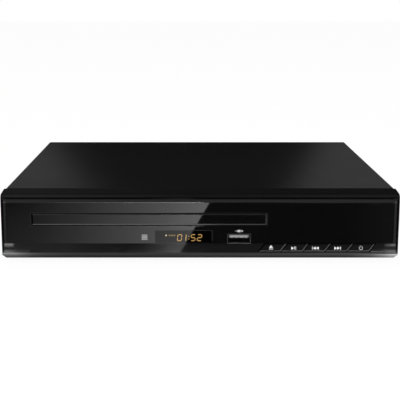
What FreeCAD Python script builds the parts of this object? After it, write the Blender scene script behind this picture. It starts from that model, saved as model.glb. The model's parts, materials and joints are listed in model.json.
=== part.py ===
import FreeCAD, Part

import math
import os
from types import SimpleNamespace

import Sketcher
from FreeCAD import Placement, Rotation, Vector

# A compact disc player: steel case, moulded front, sliding disc tray and its loading drive.
# The frame: X to the right as seen from the front, Y from front to back, Z up from the floor.
# The origin is on the floor, under the middle of the whole box.

# Driving dimensions in millimetres, and counts
SIZES = {
    # whole case
    "body_width": 226.0,
    "body_depth": 200.0,
    "sheet": 0.8,
    "case_gap": 0.2,
    "foot_height": 3.5,
    "foot_radius": 8.0,
    "foot_inset": 24.0,
    # moulded front
    "bezel_height": 37.6,
    "face_height": 36.5,
    "top_run": 12.4,
    "ledge_run": 6.2,
    "bezel_wall": 2.2,
    "cheek": 1.1,
    "lip_height": 2.75,
    "lip_run": 2.0,
    "lip_drop": 0.7,
    "lip_face": 0.9,
    "lip_face_run": 0.15,
    "band_run": 1.4,
    "crease_radius": 3.0,
    "corner_chamfer": 2.0,
    "cheek_radius": 0.5,
    # clear lens over the front, and the window of the display
    "lens_bottom": 8.2,
    "lens_top": 34.3,
    "lens_thickness": 2.0,
    "lens_gap": 0.15,
    "lens_shadow": 0.55,
    "lens_bevel": 1.8,
    "lens_bevel_depth": 0.5,
    "lens_corner": 2.2,
    "window_clear": 8.75,
    "window_width": 32.2,
    "window_bottom": 8.5,
    "window_height": 7.2,
    # buttons
    "button_margin": 16.35,
    "button_pitch": 12.65,
    "button_count": 5,
    "button_bottom": 3.5,
    "button_top": 7.7,
    "button_slant": 3.5,
    "button_gap": 0.6,
    "button_travel": 0.5,
    "button_edge": 0.35,
    "flange_thickness": 1.2,
    "flange_width": 9.0,
    # board behind the front
    "front_board_depth": 10.4,
    "board_thickness": 1.6,
    "board_margin": 12.6,
    "board_end": 7.65,
    "front_board_top": 17.0,
    "boss_radius": 2.6,
    "usb_clear": 11.25,
    "usb_width": 13.2,
    "usb_height": 5.6,
    "usb_bottom": 8.1,
    "usb_length": 13.5,
    "usb_wall": 0.4,
    "tongue_thickness": 1.3,
    # cover
    "cover_inset": 0.55,
    "cover_proud": 0.2,
    "cover_skirt": 1.2,
    "cover_lip": 9.0,
    "cover_bend": 1.6,
    "vent_width": 2.4,
    "vent_height": 13.0,
    "vent_pitch": 6.0,
    "vent_count": 9,
    "flange_height": 24.0,
    # tray and disc
    "door_margin": 17.55,
    "door_width": 133.3,
    "door_height": 6.6,
    "door_bottom": 18.9,
    "door_thickness": 3.4,
    "door_gap": 0.4,
    "door_bevel": 0.7,
    "door_bevel_depth": 0.3,
    "tray_width": 128.0,
    "tray_stop": 6.0,
    "tray_height": 5.4,
    "tray_rail": 4.0,
    "tray_floor": 1.6,
    "disc_depth": 72.0,
    "disc_recess": 122.0,
    "recess_depth": 2.2,
    "small_recess": 82.0,
    "small_step": 0.7,
    "disc_thickness": 1.2,
    "slot_width": 38.0,
    "rear_rib": 6.0,
    # loading drive
    "gear_module": 1.0,
    "drive_teeth": 24,
    "pulley_teeth": 12,
    "gear_play": 0.15,
    "gear_depth": 26.0,
    "gear_face": 2.0,
    "post_radius": 2.0,
    "running_gap": 0.1,
    "pulley_radius": 13.0,
    "motor_pulley_radius": 3.5,
    "belt_span": 40.0,
    "belt_size": 1.4,
    "motor_radius": 10.0,
    "motor_length": 7.8,
    # loader frame
    "slide_gap": 0.3,
    "frame_wall": 2.0,
    "frame_side": 2.2,
    "frame_front": 12.5,
    "rear_bay": 26.0,
    "loader_standoff": 2.5,
    "bridge_rise": 2.25,
    "bridge_width": 30.0,
    "bridge_sheet": 1.0,
    "ear_width": 8.0,
    "clamper_hub": 10.0,
    "clamper_flange": 13.5,
    # traverse
    "traverse_tilt": 5.0,
    "pivot_inset": 18.0,
    "plate_thickness": 3.0,
    "plate_drop": 8.9,
    "plate_left": 30.0,
    "plate_right": 48.0,
    "plate_front": 20.0,
    "pin_radius": 1.5,
    "cam_travel": 18.0,
    "cam_thickness": 2.5,
    "turntable_radius": 14.5,
    "cone_radius": 7.4,
    "spindle_radius": 9.0,
    "rod_radius": 1.5,
    "rod_spacing": 21.0,
    "pickup_inner": 25.0,
    "rod_inset": 8.0,
    "pickup_width": 34.0,
    "pickup_length": 22.0,
    "feed_module": 0.6,
    "feed_small_teeth": 14,
    "feed_big_teeth": 26,
    "feed_pinion_teeth": 10,
    "feed_face": 1.2,
    # boards and sockets
    "board_standoff": 5.0,
    "board_clear": 1.6,
    "board_side": 3.0,
    "main_side": 8.0,
    "main_gap": 3.5,
    "psu_front": 64.0,
    "jacks_inset": 52.5,
    "hdmi_inset": 22.0,
    "jack_reach": 8.0,
    "jack_radius": 4.15,
    "jack_root": 3.6,
    "jack_collar": 5.6,
    "jack_pitch": 14.0,
    "jack_height": 17.5,
    "hdmi_width": 15.0,
    "hdmi_height": 5.6,
    "hdmi_depth": 11.5,
    "inlet_width": 24.0,
    "inlet_height": 15.0,
    "inlet_depth": 16.0,
    "inlet_inset": 15.0,
    "bulk_can_radius": 7.0,
    "small_can_radius": 4.0,
}

doc = FreeCAD.newDocument("DiscPlayer")
sheet = doc.addObject("Spreadsheet::Sheet", "Sizes")
for row, (alias, number) in enumerate(SIZES.items(), start=1):
    sheet.set(f"A{row}", alias)
    sheet.set(f"B{row}", str(number))
    sheet.setAlias(f"B{row}", alias)
doc.recompute()


class Size:
    """A length worked out from the sheet: its value now, and the expression that gives it."""

    def __init__(self, value, text=None):
        self.value = float(value)
        self.text = text or repr(float(value))

    def _join(self, other, sign, value, swap=False):
        first, second = (as_size(other), self) if swap else (self, as_size(other))
        return Size(value(first.value, second.value), f"({first.text} {sign} {second.text})")

    def __add__(self, other):
        return self._join(other, "+", lambda a, b: a + b)

    def __radd__(self, other):
        return self._join(other, "+", lambda a, b: a + b, swap=True)

    def __sub__(self, other):
        return self._join(other, "-", lambda a, b: a - b)

    def __rsub__(self, other):
        return self._join(other, "-", lambda a, b: a - b, swap=True)

    def __mul__(self, other):
        return self._join(other, "*", lambda a, b: a * b)

    def __rmul__(self, other):
        return self._join(other, "*", lambda a, b: a * b, swap=True)

    def __truediv__(self, other):
        return self._join(other, "/", lambda a, b: a / b)

    def __neg__(self):
        return 0 - self


def as_size(value):
    return value if isinstance(value, Size) else Size(value)


s = SimpleNamespace(**{alias: Size(sheet.get(alias), f"Sizes.{alias}") for alias in SIZES})
PIECES = {}


def bind(obj, name, value):
    """Ties one property of an object to the sheet."""
    obj.setExpression(name, as_size(value).text)


# Outlines: a loop is a list of corner points, or a circle
def rect(x0, x1, y0, y1):
    return [(x0, y0), (x1, y0), (x1, y1), (x0, y1)]


def circle(x, y, radius):
    return {"x": x, "y": y, "radius": radius}


def draw_polygon(sketch, points):
    first = sketch.GeometryCount
    corners = [Vector(as_size(x).value, as_size(y).value, 0) for x, y in points]
    count = len(corners)
    for i in range(count):
        sketch.addGeometry(Part.LineSegment(corners[i], corners[(i + 1) % count]), False)
    for i in range(count):
        sketch.addConstraint(Sketcher.Constraint("Coincident", first + i, 2, first + (i + 1) % count, 1))
    for i, (x, y) in enumerate(points):
        pin_point(sketch, first + i, 1, x, y)


def draw_circle(sketch, loop):
    geometry = sketch.GeometryCount
    x, y, radius = (as_size(loop[key]) for key in ("x", "y", "radius"))
    sketch.addGeometry(Part.Circle(Vector(x.value, y.value, 0), Vector(0, 0, 1), radius.value), False)
    pin_point(sketch, geometry, 3, x, y)
    index = sketch.addConstraint(Sketcher.Constraint("Radius", geometry, radius.value))
    name_and_bind(sketch, index, f"r{geometry}", radius)


def pin_point(sketch, geometry, point, x, y):
    """Holds a point at its distances from the sketch's origin."""
    for kind, letter, value in (("DistanceX", "x", as_size(x)), ("DistanceY", "y", as_size(y))):
        constraint = Sketcher.Constraint(kind, -1, 1, geometry, point, value.value)
        name_and_bind(sketch, sketch.addConstraint(constraint), f"{letter}{geometry}", value)


def name_and_bind(sketch, index, name, value):
    sketch.renameConstraint(index, name)
    bind(sketch, f"Constraints.{name}", value)


# A sketch plane's normal, as the sign that it has along its axis
PLANES = {"XY": ("XY_Plane", 1), "XZ": ("XZ_Plane", -1), "YZ": ("YZ_Plane", 1)}


class Piece:
    """One sub-part made as a body of pads, pockets, patterns and dressed edges."""

    def __init__(self, label):
        self.body = doc.addObject("PartDesign::Body", label)
        self.body.Label = label
        PIECES[label] = self.body

    def _origin(self, role):
        return next(o for o in self.body.Origin.OriginFeatures if o.Role == role)

    def _sketch(self, plane, loops, at):
        role, sign = PLANES[plane]
        sketch = self.body.newObject("Sketcher::SketchObject", f"{self.body.Label}_sketch")
        sketch.AttachmentSupport = (self._origin(role), [""])
        sketch.MapMode = "FlatFace"
        bind(sketch, "AttachmentOffset.Base.z", as_size(at) * sign)
        for loop in loops:
            if isinstance(loop, dict):
                draw_circle(sketch, loop)
            else:
                draw_polygon(sketch, loop)
        return sketch

    def _volume(self):
        return self.body.Tip.Shape.Volume if self.body.Tip else 0.0

    def pad(self, plane, loops, low, high):
        """Adds the loops' area, from low to high along the plane's axis."""
        before = self._volume()
        sketch = self._sketch(plane, loops, low if PLANES[plane][1] > 0 else high)
        feature = self.body.newObject("PartDesign::Pad", f"{self.body.Label}_pad")
        feature.Profile = sketch
        bind(feature, "Length", as_size(high) - low)
        doc.recompute()
        if self._volume() <= before:
            raise ValueError(f"a pad of {self.body.Label} adds nothing")
        return feature

    def pocket(self, plane, loops, low, high):
        """Cuts the loops' area away, from low to high along the plane's axis."""
        before = self._volume()
        sketch = self._sketch(plane, loops, high if PLANES[plane][1] > 0 else low)
        feature = self.body.newObject("PartDesign::Pocket", f"{self.body.Label}_pocket")
        feature.Profile = sketch
        bind(feature, "Length", as_size(high) - low)
        doc.recompute()
        if self._volume() >= before:
            raise ValueError(f"a pocket of {self.body.Label} cuts nothing")
        return feature

    def repeat(self, feature, axis, spacing, count):
        """Repeats one feature along an axis of the body."""
        pattern = self.body.newObject("PartDesign::LinearPattern", f"{self.body.Label}_row")
        pattern.Originals = [feature]
        pattern.Direction = (self._origin(f"{axis}_Axis"), [""])
        pattern.Mode = "Spacing"
        bind(pattern, "Offset", spacing)
        bind(pattern, "Occurrences", count)
        self.body.Tip = pattern
        doc.recompute()

    def _edges(self, chosen):
        edges = enumerate(self.body.Tip.Shape.Edges, start=1)
        names = [f"Edge{number}" for number, edge in edges if chosen(edge)]
        if not names:
            raise ValueError(f"{self.body.Label} has no such edge")
        return names

    def fillet(self, radius, chosen):
        self._dress("PartDesign::Fillet", "Radius", radius, chosen)

    def chamfer(self, size, chosen):
        self._dress("PartDesign::Chamfer", "Size", size, chosen)

    def bevel(self, first, second, chosen):
        """A flat edge that takes a different length from each of its two faces."""
        feature = self._dress("PartDesign::Chamfer", "Size", first, chosen)
        feature.ChamferType = "Two distances"
        bind(feature, "Size2", second)
        doc.recompute()

    def _dress(self, kind, name, value, chosen):
        base, names = self.body.Tip, self._edges(chosen)
        feature = self.body.newObject(kind, f"{self.body.Label}_edge")
        feature.Base = (base, names)
        bind(feature, name, value)
        doc.recompute()
        return feature


def near(a, b):
    return abs(a - as_size(b).value) < 1e-4


def edge_at(**wanted):
    """Picks edges whose every end lies at the given x, y or z, or runs along the given axis."""
    along = wanted.pop("along", None)

    def chosen(edge):
        ends = [v.Point for v in edge.Vertexes]
        if along:
            spread = {axis: max(getattr(p, axis) for p in ends) - min(getattr(p, axis) for p in ends) for axis in "xyz"}
            if any(spread[axis] > 1e-4 for axis in "xyz" if axis != along) or spread[along] < 1e-4:
                return False
        return all(any(near(abs(getattr(p, axis)) if side else getattr(p, axis), value)
                       for value, side in [as_choice(places)])
                   for axis, places in wanted.items() for p in ends)

    return chosen


def as_choice(places):
    """A place on one side, or on both sides of the middle when it is given as a one-item tuple."""
    return (places[0], True) if isinstance(places, tuple) else (places, False)


# Plain solids of the Part workbench
def block(name, x0, x1, y0, y1, z0, z1):
    solid = doc.addObject("Part::Box", name)
    for side, place, low, high in (("Length", "x", x0, x1), ("Width", "y", y0, y1), ("Height", "z", z0, z1)):
        bind(solid, side, as_size(high) - low)
        bind(solid, f"Placement.Base.{place}", low)
    return solid


TURNS = {"X": Rotation(Vector(0, 1, 0), 90), "Y": Rotation(Vector(1, 0, 0), -90), "Z": Rotation()}


def rod(name, axis, x, y, z, radius, length):
    """A cylinder that starts at a point and runs along an axis."""
    solid = doc.addObject("Part::Cylinder", name)
    solid.Placement = Placement(Vector(), TURNS[axis])
    bind(solid, "Radius", radius)
    bind(solid, "Height", length)
    for place, value in (("x", x), ("y", y), ("z", z)):
        bind(solid, f"Placement.Base.{place}", value)
    return solid


def cone(name, x, y, z, low_radius, high_radius, length):
    solid = doc.addObject("Part::Cone", name)
    bind(solid, "Radius1", low_radius)
    bind(solid, "Radius2", high_radius)
    bind(solid, "Height", length)
    for place, value in (("x", x), ("y", y), ("z", z)):
        bind(solid, f"Placement.Base.{place}", value)
    return solid


def fuse(name, *solids):
    joined = doc.addObject("Part::MultiFuse", name)
    joined.Shapes = list(solids)
    joined.Refine = True
    return joined


def cut(name, base, *tools):
    result = doc.addObject("Part::Cut", name)
    result.Base = base
    result.Tool = tools[0] if len(tools) == 1 else fuse(f"{name}_tools", *tools)
    result.Refine = True
    return result


def group(name, *solids):
    gathered = doc.addObject("Part::Compound", name)
    gathered.Links = list(solids)
    return gathered


def piece(label, solid):
    """Names a finished solid, or group of solids, as a sub-part."""
    solid.Label = label
    PIECES[label] = solid
    doc.recompute()
    return solid


def shaped(label, shape):
    """A sub-part whose outline comes from a formula."""
    feature = doc.addObject("Part::Feature", label)
    feature.Shape = shape
    return feature


# Reference planes
front_y = -(s.body_depth + s.jack_reach) / 2
rear_y = front_y + s.body_depth
floor_z = s.foot_height
half_width = s.body_width / 2
half_cover = half_width - s.cover_inset


def deep(distance):
    """The plane at a distance behind the front face."""
    return front_y + distance


def high(distance):
    """The plane at a height above the underside of the case."""
    return floor_z + distance


cover_top = high(s.bezel_height + s.cover_proud)
ledge_z = cover_top - s.sheet
bezel_depth = s.top_run + s.ledge_run
chassis_top = high(s.sheet)
wall_back = s.lens_thickness + s.bezel_wall
panel_out = rear_y - s.sheet - s.case_gap / 2
panel_in = panel_out - s.sheet
flange_x = half_cover - s.sheet - s.case_gap

frame_rear = deep(s.body_depth - s.rear_bay)
tray_x = -half_width + s.door_margin + s.door_width / 2
disc_y = deep(s.disc_depth)
tray_end = frame_rear - s.tray_stop
tray_bottom = high(s.door_bottom + (s.door_height - s.tray_height) / 2)
tray_top = tray_bottom + s.tray_height
recess_z = tray_top - s.recess_depth
tray_under = recess_z - s.tray_floor

frame_bottom = chassis_top + s.loader_standoff
base_top = frame_bottom + s.frame_wall
deck_top = tray_bottom - 6.35
deck_bottom = deck_top - s.frame_wall
wall_top = tray_top + s.bridge_rise
tray_half = s.tray_width / 2
wall_in = tray_half + s.slide_gap + s.case_gap
wall_out = wall_in + s.frame_side
gear_y = deep(s.gear_depth)

clamper_bottom = wall_top - s.slide_gap
clamp_z = clamper_bottom - s.case_gap - s.disc_thickness
plate_top = clamp_z - s.plate_drop
plate_bottom = plate_top - s.plate_thickness
pivot_y = frame_rear - s.pivot_inset
pivot_z = plate_bottom + s.plate_thickness / 2


# Front: bezel, lens, window, buttons
def band_depth(height):
    """How far the button band leans back at a height above the case's underside."""
    return s.band_run * (height - s.lip_height) / (s.lens_bottom - s.lip_height)


def button_outline(left, right, bottom, top):
    """A leaning four-sided outline: its sides follow the buttons' slant."""
    slope = s.button_slant / (s.button_top - s.button_bottom)
    low_shift = slope * (bottom - s.button_bottom)
    top_shift = slope * (top - s.button_bottom)
    return [(left + low_shift, high(bottom)), (right + low_shift, high(bottom)),
            (right + top_shift, high(top)), (left + top_shift, high(top))]


buttons_right = half_width - s.button_margin
button_left = buttons_right - s.button_pitch * s.button_count
usb_centre = button_left - s.usb_clear
usb_left = usb_centre - s.usb_width / 2
usb_right = usb_centre + s.usb_width / 2
window_right = usb_left - s.window_clear
window_left = window_right - s.window_width
board_left = window_left - s.board_margin
board_right = buttons_right + s.board_end
door_left = tray_x - s.door_width / 2
door_right = tray_x + s.door_width / 2
board_bosses = [(board_left + 5, 13.6), (button_left + 12, 13.6), (board_right - 5, 13.6)]


def make_bezel():
    bezel = Piece("front_bezel")
    bottom = floor_z - s.lip_drop
    profile = [(deep(s.lip_run), bottom), (deep(s.lip_face_run), high(s.lip_height - s.lip_face)),
               (deep(0), high(s.lip_height)), (deep(0), high(s.face_height)),
               (deep(s.top_run), high(s.bezel_height)), (deep(s.top_run), ledge_z),
               (deep(bezel_depth), ledge_z), (deep(bezel_depth), bottom)]
    bezel.pad("YZ", [profile], -half_width, half_width)
    bezel.fillet(s.crease_radius, edge_at(y=deep(0), z=high(s.face_height)))
    bezel.chamfer(s.corner_chamfer, edge_at(x=(half_width,), z=bottom, along="y"))
    bezel.fillet(s.cheek_radius, edge_at(x=(half_width,), y=deep(0), along="z"))

    inside = flange_x
    ceiling = ledge_z - s.bezel_wall
    bezel.pocket("YZ", [rect(deep(wall_back), deep(bezel_depth + 1), high(s.bezel_wall), ceiling)], -inside, inside)
    bezel.pocket("XY", [rect(side * inside, side * (half_width + 1), deep(s.top_run), deep(bezel_depth + 1))
                        for side in (-1, 1)], bottom - 1, ledge_z + 1)
    bezel.fillet(s.cover_bend, edge_at(x=(inside,), z=ledge_z, along="y"))
    recess = half_width - s.cheek
    band = [(deep(-1), high(s.lip_height)), (deep(0), high(s.lip_height)),
            (deep(s.band_run), high(s.lens_bottom)), (deep(-1), high(s.lens_bottom))]
    bezel.pocket("YZ", [band], -recess, recess)
    bezel.pocket("XZ", [rect(-recess, recess, high(s.lens_bottom), high(s.lens_top))],
                 deep(-1), deep(s.lens_thickness))
    bezel.fillet(s.lens_corner + s.lens_gap, edge_at(x=(recess,), z=high(s.lens_top), along="y"))

    through = (deep(0), deep(wall_back + 1))
    gap = s.door_gap
    bezel.pocket("XZ", [rect(door_left - gap, door_right + gap, high(s.door_bottom - gap),
                             high(s.door_bottom + s.door_height + gap))], *through)
    bezel.pocket("XZ", [rect(window_left + 1, window_right - 1, high(s.window_bottom + 0.6),
                             high(s.window_bottom + s.window_height - 0.6))], *through)
    bezel.pocket("XZ", [rect(usb_left - gap, usb_right + gap, high(s.usb_bottom - gap),
                             high(s.usb_bottom + s.usb_height + gap))], *through)
    clear = s.button_gap * 0.6
    bezel.pocket("XZ", [button_outline(button_left - clear, buttons_right + clear, s.button_bottom - clear,
                                       s.button_top + clear)], deep(-1), deep(wall_back + 1))
    bezel.pocket("XZ", [circle(button_left + 18, high(13.1), 2.6)], *through)
    bosses = [circle(x, high(z), s.boss_radius) for x, z in board_bosses]
    bezel.pad("XZ", bosses, deep(wall_back - 0.5), deep(s.front_board_depth))


def make_lens():
    lens = Piece("fascia_lens")
    edge = half_width - s.cheek - s.lens_gap
    low, top = high(s.lens_bottom + 0.05), high(s.lens_top) - s.lens_shadow
    lens.pad("XZ", [rect(-edge, edge, low, top)], deep(0), deep(s.lens_thickness))
    lens.fillet(s.lens_corner, edge_at(x=(edge,), z=top, along="y"))
    lens.bevel(s.lens_bevel_depth, s.lens_bevel, lambda e: edge_at(y=deep(0))(e) and not edge_at(z=low)(e))
    through = (deep(-1), deep(s.lens_thickness + 1))
    gap = s.door_gap
    lens.pocket("XZ", [rect(door_left - gap, door_right + gap, high(s.door_bottom - gap),
                            high(s.door_bottom + s.door_height + gap))], *through)
    lens.pocket("XZ", [window_outline()], *through)
    snug = s.lens_gap
    lens.pocket("XZ", [rect(usb_left - snug, usb_right + snug, high(s.usb_bottom) - snug,
                            high(s.usb_bottom + s.usb_height) + snug)], *through)
    window = Piece("display_window")
    window.pad("XZ", [window_outline()], deep(0), deep(s.lens_thickness))


def window_outline():
    return rect(window_left, window_right, high(s.window_bottom), high(s.window_bottom + s.window_height))


BUTTONS = ["eject_button", "play_button", "previous_button", "next_button", "power_button"]
flange_front = wall_back + s.slide_gap
flange_back = flange_front + s.flange_thickness


def button_middle(index):
    return button_left + s.button_pitch * (index + 0.5) + s.button_slant / 2


def on_band(edge):
    """Whether an edge lies on the leaning front of the buttons."""
    return all(near(v.Y, deep(band_depth(v.Z - floor_z.value))) for v in edge.Vertexes)


def make_buttons():
    for index, label in enumerate(BUTTONS):
        left = button_left + s.button_pitch * index + s.button_gap / 2
        right = left + s.button_pitch - s.button_gap
        button = Piece(label)
        button.pad("XZ", [button_outline(left, right, s.button_bottom, s.button_top)], deep(0), deep(flange_back))
        low, top = s.button_bottom - 1, s.button_top + 1
        front = [(deep(-1), high(low)), (deep(band_depth(low)), high(low)),
                 (deep(band_depth(top)), high(top)), (deep(-1), high(top))]
        button.pocket("YZ", [front], left - s.button_pitch, right + s.button_pitch)
        button.chamfer(s.button_edge, on_band)
        middle = button_middle(index)
        button.pad("XZ", [rect(middle - s.flange_width / 2, middle + s.flange_width / 2,
                               high(s.bezel_wall + s.slide_gap), high(s.button_top + 1))],
                   deep(flange_front), deep(flange_back))


# Board behind the front: switches, display, receiver and socket
board_back = s.front_board_depth + s.board_thickness


def make_front_board():
    board = Piece("front_board")
    bottom = s.bezel_wall + 0.6
    board.pad("XZ", [rect(board_left, board_right, high(bottom), high(s.front_board_top))],
              deep(s.front_board_depth), deep(board_back))
    through = (deep(s.front_board_depth - 1), deep(board_back + 1))
    board.pocket("XZ", [rect(usb_left - 0.3, usb_right + 0.3, high(s.usb_bottom - 0.3),
                             high(s.usb_bottom + s.usb_height + 0.3))], *through)

    switches = []
    switch_z = high((s.button_bottom + s.button_top) / 2 + 0.3)
    tip = flange_back + s.button_travel + 0.1
    for index in range(len(BUTTONS)):
        x = button_middle(index)
        body = block(f"switch_{index}", x - 3, x + 3, deep(tip + 0.9), deep(s.front_board_depth),
                     switch_z - 2.4, switch_z + 3.6)
        plunger = block(f"plunger_{index}", x - 1.5, x + 1.5, deep(tip), deep(tip + 1), switch_z - 1.5, switch_z + 1.5)
        switches.append(fuse(f"tact_{index}", body, plunger))
    piece("tact_switches", group("tact_group", *switches))

    display = Piece("display_module")
    display.pad("XZ", [rect(window_left + 1.4, window_right - 1.4,
                            high(s.window_bottom + 0.2), high(s.window_bottom + s.window_height + 0.6))],
                deep(wall_back + 0.2), deep(s.front_board_depth))

    receiver = fuse("receiver",
                    block("receiver_case", button_left + 15, button_left + 21, deep(7), deep(s.front_board_depth),
                          high(9.8), high(16)),
                    rod("receiver_dome", "Y", button_left + 18, deep(5), high(13.1), 2.2, 2.2))
    piece("ir_receiver", receiver)

    shell = Piece("usb_shell")
    outer = rect(usb_left, usb_right, high(s.usb_bottom), high(s.usb_bottom + s.usb_height))
    inner = rect(usb_left + s.usb_wall, usb_right - s.usb_wall, high(s.usb_bottom) + s.usb_wall,
                 high(s.usb_bottom + s.usb_height) - s.usb_wall)
    shell.pad("XZ", [outer], deep(0.2), deep(s.usb_length))
    shell.pocket("XZ", [inner], deep(-0.8), deep(s.usb_length - 2))
    tongue_top = high(s.usb_bottom + s.usb_height) - s.usb_wall - 0.5
    tongue = Piece("usb_tongue")
    tongue.pad("XZ", [rect(usb_centre - 5.5, usb_centre + 5.5, tongue_top - s.tongue_thickness, tongue_top)],
               deep(1.4), deep(s.usb_length - 2))


# Case: cover, chassis, rear panel and feet
def make_cover():
    cover = Piece("top_cover")
    bottom = high(s.cover_skirt)
    inner = half_cover - s.sheet
    section = [(-half_cover, bottom), (-half_cover, cover_top), (half_cover, cover_top), (half_cover, bottom),
               (inner, bottom), (inner, ledge_z), (-inner, ledge_z), (-inner, bottom)]
    front = deep(s.top_run) + s.case_gap
    cover.pad("XZ", [section], front, rear_y)
    cover.fillet(s.cover_bend, edge_at(x=(half_cover,), z=cover_top, along="y"))
    cover.fillet(s.cover_bend - s.sheet, edge_at(x=(inner,), z=ledge_z, along="y"))
    lip_side = half_cover - s.cover_bend - 0.4
    cover.pad("XZ", [rect(-lip_side, lip_side, cover_top - s.cover_lip, ledge_z + s.sheet / 2)],
              rear_y - s.sheet, rear_y)
    first = rear_y - 20 - s.vent_pitch * (s.vent_count - 1)
    slot = rect(first, first + s.vent_width, high(16), high(16) + s.vent_height)
    slots = cover.pocket("YZ", [slot], -half_cover - 1, half_cover + 1)
    cover.repeat(slots, "Y", s.vent_pitch, s.vent_count)


# The power supply stands right of the loader, and the main board behind both
board_z = chassis_top + s.board_standoff
board_top = board_z + s.board_thickness
psu = SimpleNamespace(left=tray_x + wall_out + s.ear_width + s.board_clear, right=flange_x - s.board_side,
                      front=deep(s.psu_front), rear=panel_in - 0.6)
psu_width = psu.right - psu.left
main_board = SimpleNamespace(left=-flange_x + s.main_side, right=psu.left - s.board_side,
                             front=frame_rear + s.main_gap, rear=panel_in - 0.6)
jack_places = [main_board.left + s.jacks_inset + s.jack_pitch * i for i in range(4)]
jack_z = high(s.jack_height)
hdmi_x = main_board.right - s.hdmi_inset
main_posts = [(x, main_board.rear - 14) for x in (main_board.left + 4, jack_places[3] + 10, main_board.right - 4)]
psu_posts = [(psu.left + 4, psu.front + 4), (psu.right - 4, psu.front + 4), (psu.left + 4, psu.rear - 30)]
ear_x = [tray_x - wall_out - s.ear_width / 2, tray_x + wall_out + s.ear_width / 2]
ear_y = [deep(bezel_depth + 8), frame_rear - 6]
loader_ears = [(x, y) for x in ear_x for y in ear_y]
feet = [(x, y) for x in (-half_cover + s.foot_inset, half_cover - s.foot_inset)
        for y in (deep(bezel_depth + 14), rear_y - s.foot_inset)]


def across(share):
    """The plane at a share of the power supply's width."""
    return psu.left + psu_width * share


def make_chassis():
    chassis = Piece("chassis_pan")
    inner = flange_x - s.sheet
    flange_top = high(s.flange_height)
    front = deep(bezel_depth) + s.case_gap
    section = [(-flange_x, high(0)), (-flange_x, flange_top), (-inner, flange_top), (-inner, chassis_top),
               (inner, chassis_top), (inner, flange_top), (flange_x, flange_top), (flange_x, high(0))]
    chassis.pad("XZ", [section], front, panel_in)
    chassis.pad("XY", [circle(x, y, 3.2) for x, y in loader_ears], chassis_top, frame_bottom)
    chassis.pad("XY", [circle(x, y, 2.8) for x, y in main_posts + psu_posts], chassis_top, board_z)
    chassis.pad("XZ", [rect(-inner + 6, -inner + 26, chassis_top, chassis_top + 4),
                       rect(inner - 26, inner - 6, chassis_top, chassis_top + 4)],
                panel_in - s.sheet, panel_in)
    vent = chassis.pocket("XY", [rect(across(0.3), across(0.37), psu.front + 12, psu.front + 42)],
                          high(-1), high(s.sheet + 0.5))
    chassis.repeat(vent, "X", psu_width * 0.14, 4)


inlet_low = board_top
inlet_centre = psu.right - s.inlet_inset
inlet_left = inlet_centre - s.inlet_width / 2
inlet_right = inlet_centre + s.inlet_width / 2


def make_rear_panel():
    panel = Piece("rear_panel")
    side = half_cover - s.sheet - s.case_gap
    top = ledge_z - s.case_gap
    panel.pad("XZ", [rect(-side, side, high(0), top)], panel_in, panel_out)
    panel.fillet(s.cover_bend, edge_at(x=(side,), z=top, along="y"))
    through = (panel_in - 0.05, panel_out + 1)
    panel.pocket("XZ", [circle(x, jack_z, s.jack_root + 0.4) for x in jack_places], *through)
    panel.pocket("XZ", [rect(hdmi_x - s.hdmi_width / 2 - 0.4, hdmi_x + s.hdmi_width / 2 + 0.4,
                             board_top - 0.4, board_top + s.hdmi_height + 0.4)], *through)
    panel.pocket("XZ", [rect(inlet_left + 1.5, inlet_right - 1.5, inlet_low + 1.5,
                             inlet_low + s.inlet_height - 1.5)], *through)
    slot = panel.pocket("XZ", [rect(-half_cover + 14, -half_cover + 16.4, high(10), high(24))], *through)
    panel.repeat(slot, "X", s.vent_pitch - 1, 5)


def make_feet():
    pads = []
    for number, (x, y) in enumerate(feet):
        tread = cone(f"tread_{number}", x, y, 0, s.foot_radius - 1, s.foot_radius, 1)
        post = rod(f"foot_post_{number}", "Z", x, y, 1, s.foot_radius, s.foot_height - 1)
        pads.append(fuse(f"foot_{number}", tread, post))
    piece("rubber_feet", group("feet_group", *pads))


# Disc tray and its door
rack_pitch = math.pi * s.gear_module
rack_root = tray_x - tray_half + s.tray_rail
rack_line = rack_root + 1.25 * s.gear_module
drive_x = rack_line + s.gear_module * s.drive_teeth / 2 + s.gear_play
pulley_x = drive_x + s.gear_module * (s.drive_teeth + s.pulley_teeth) / 2 + s.gear_play
motor_x = pulley_x + s.belt_span


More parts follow.
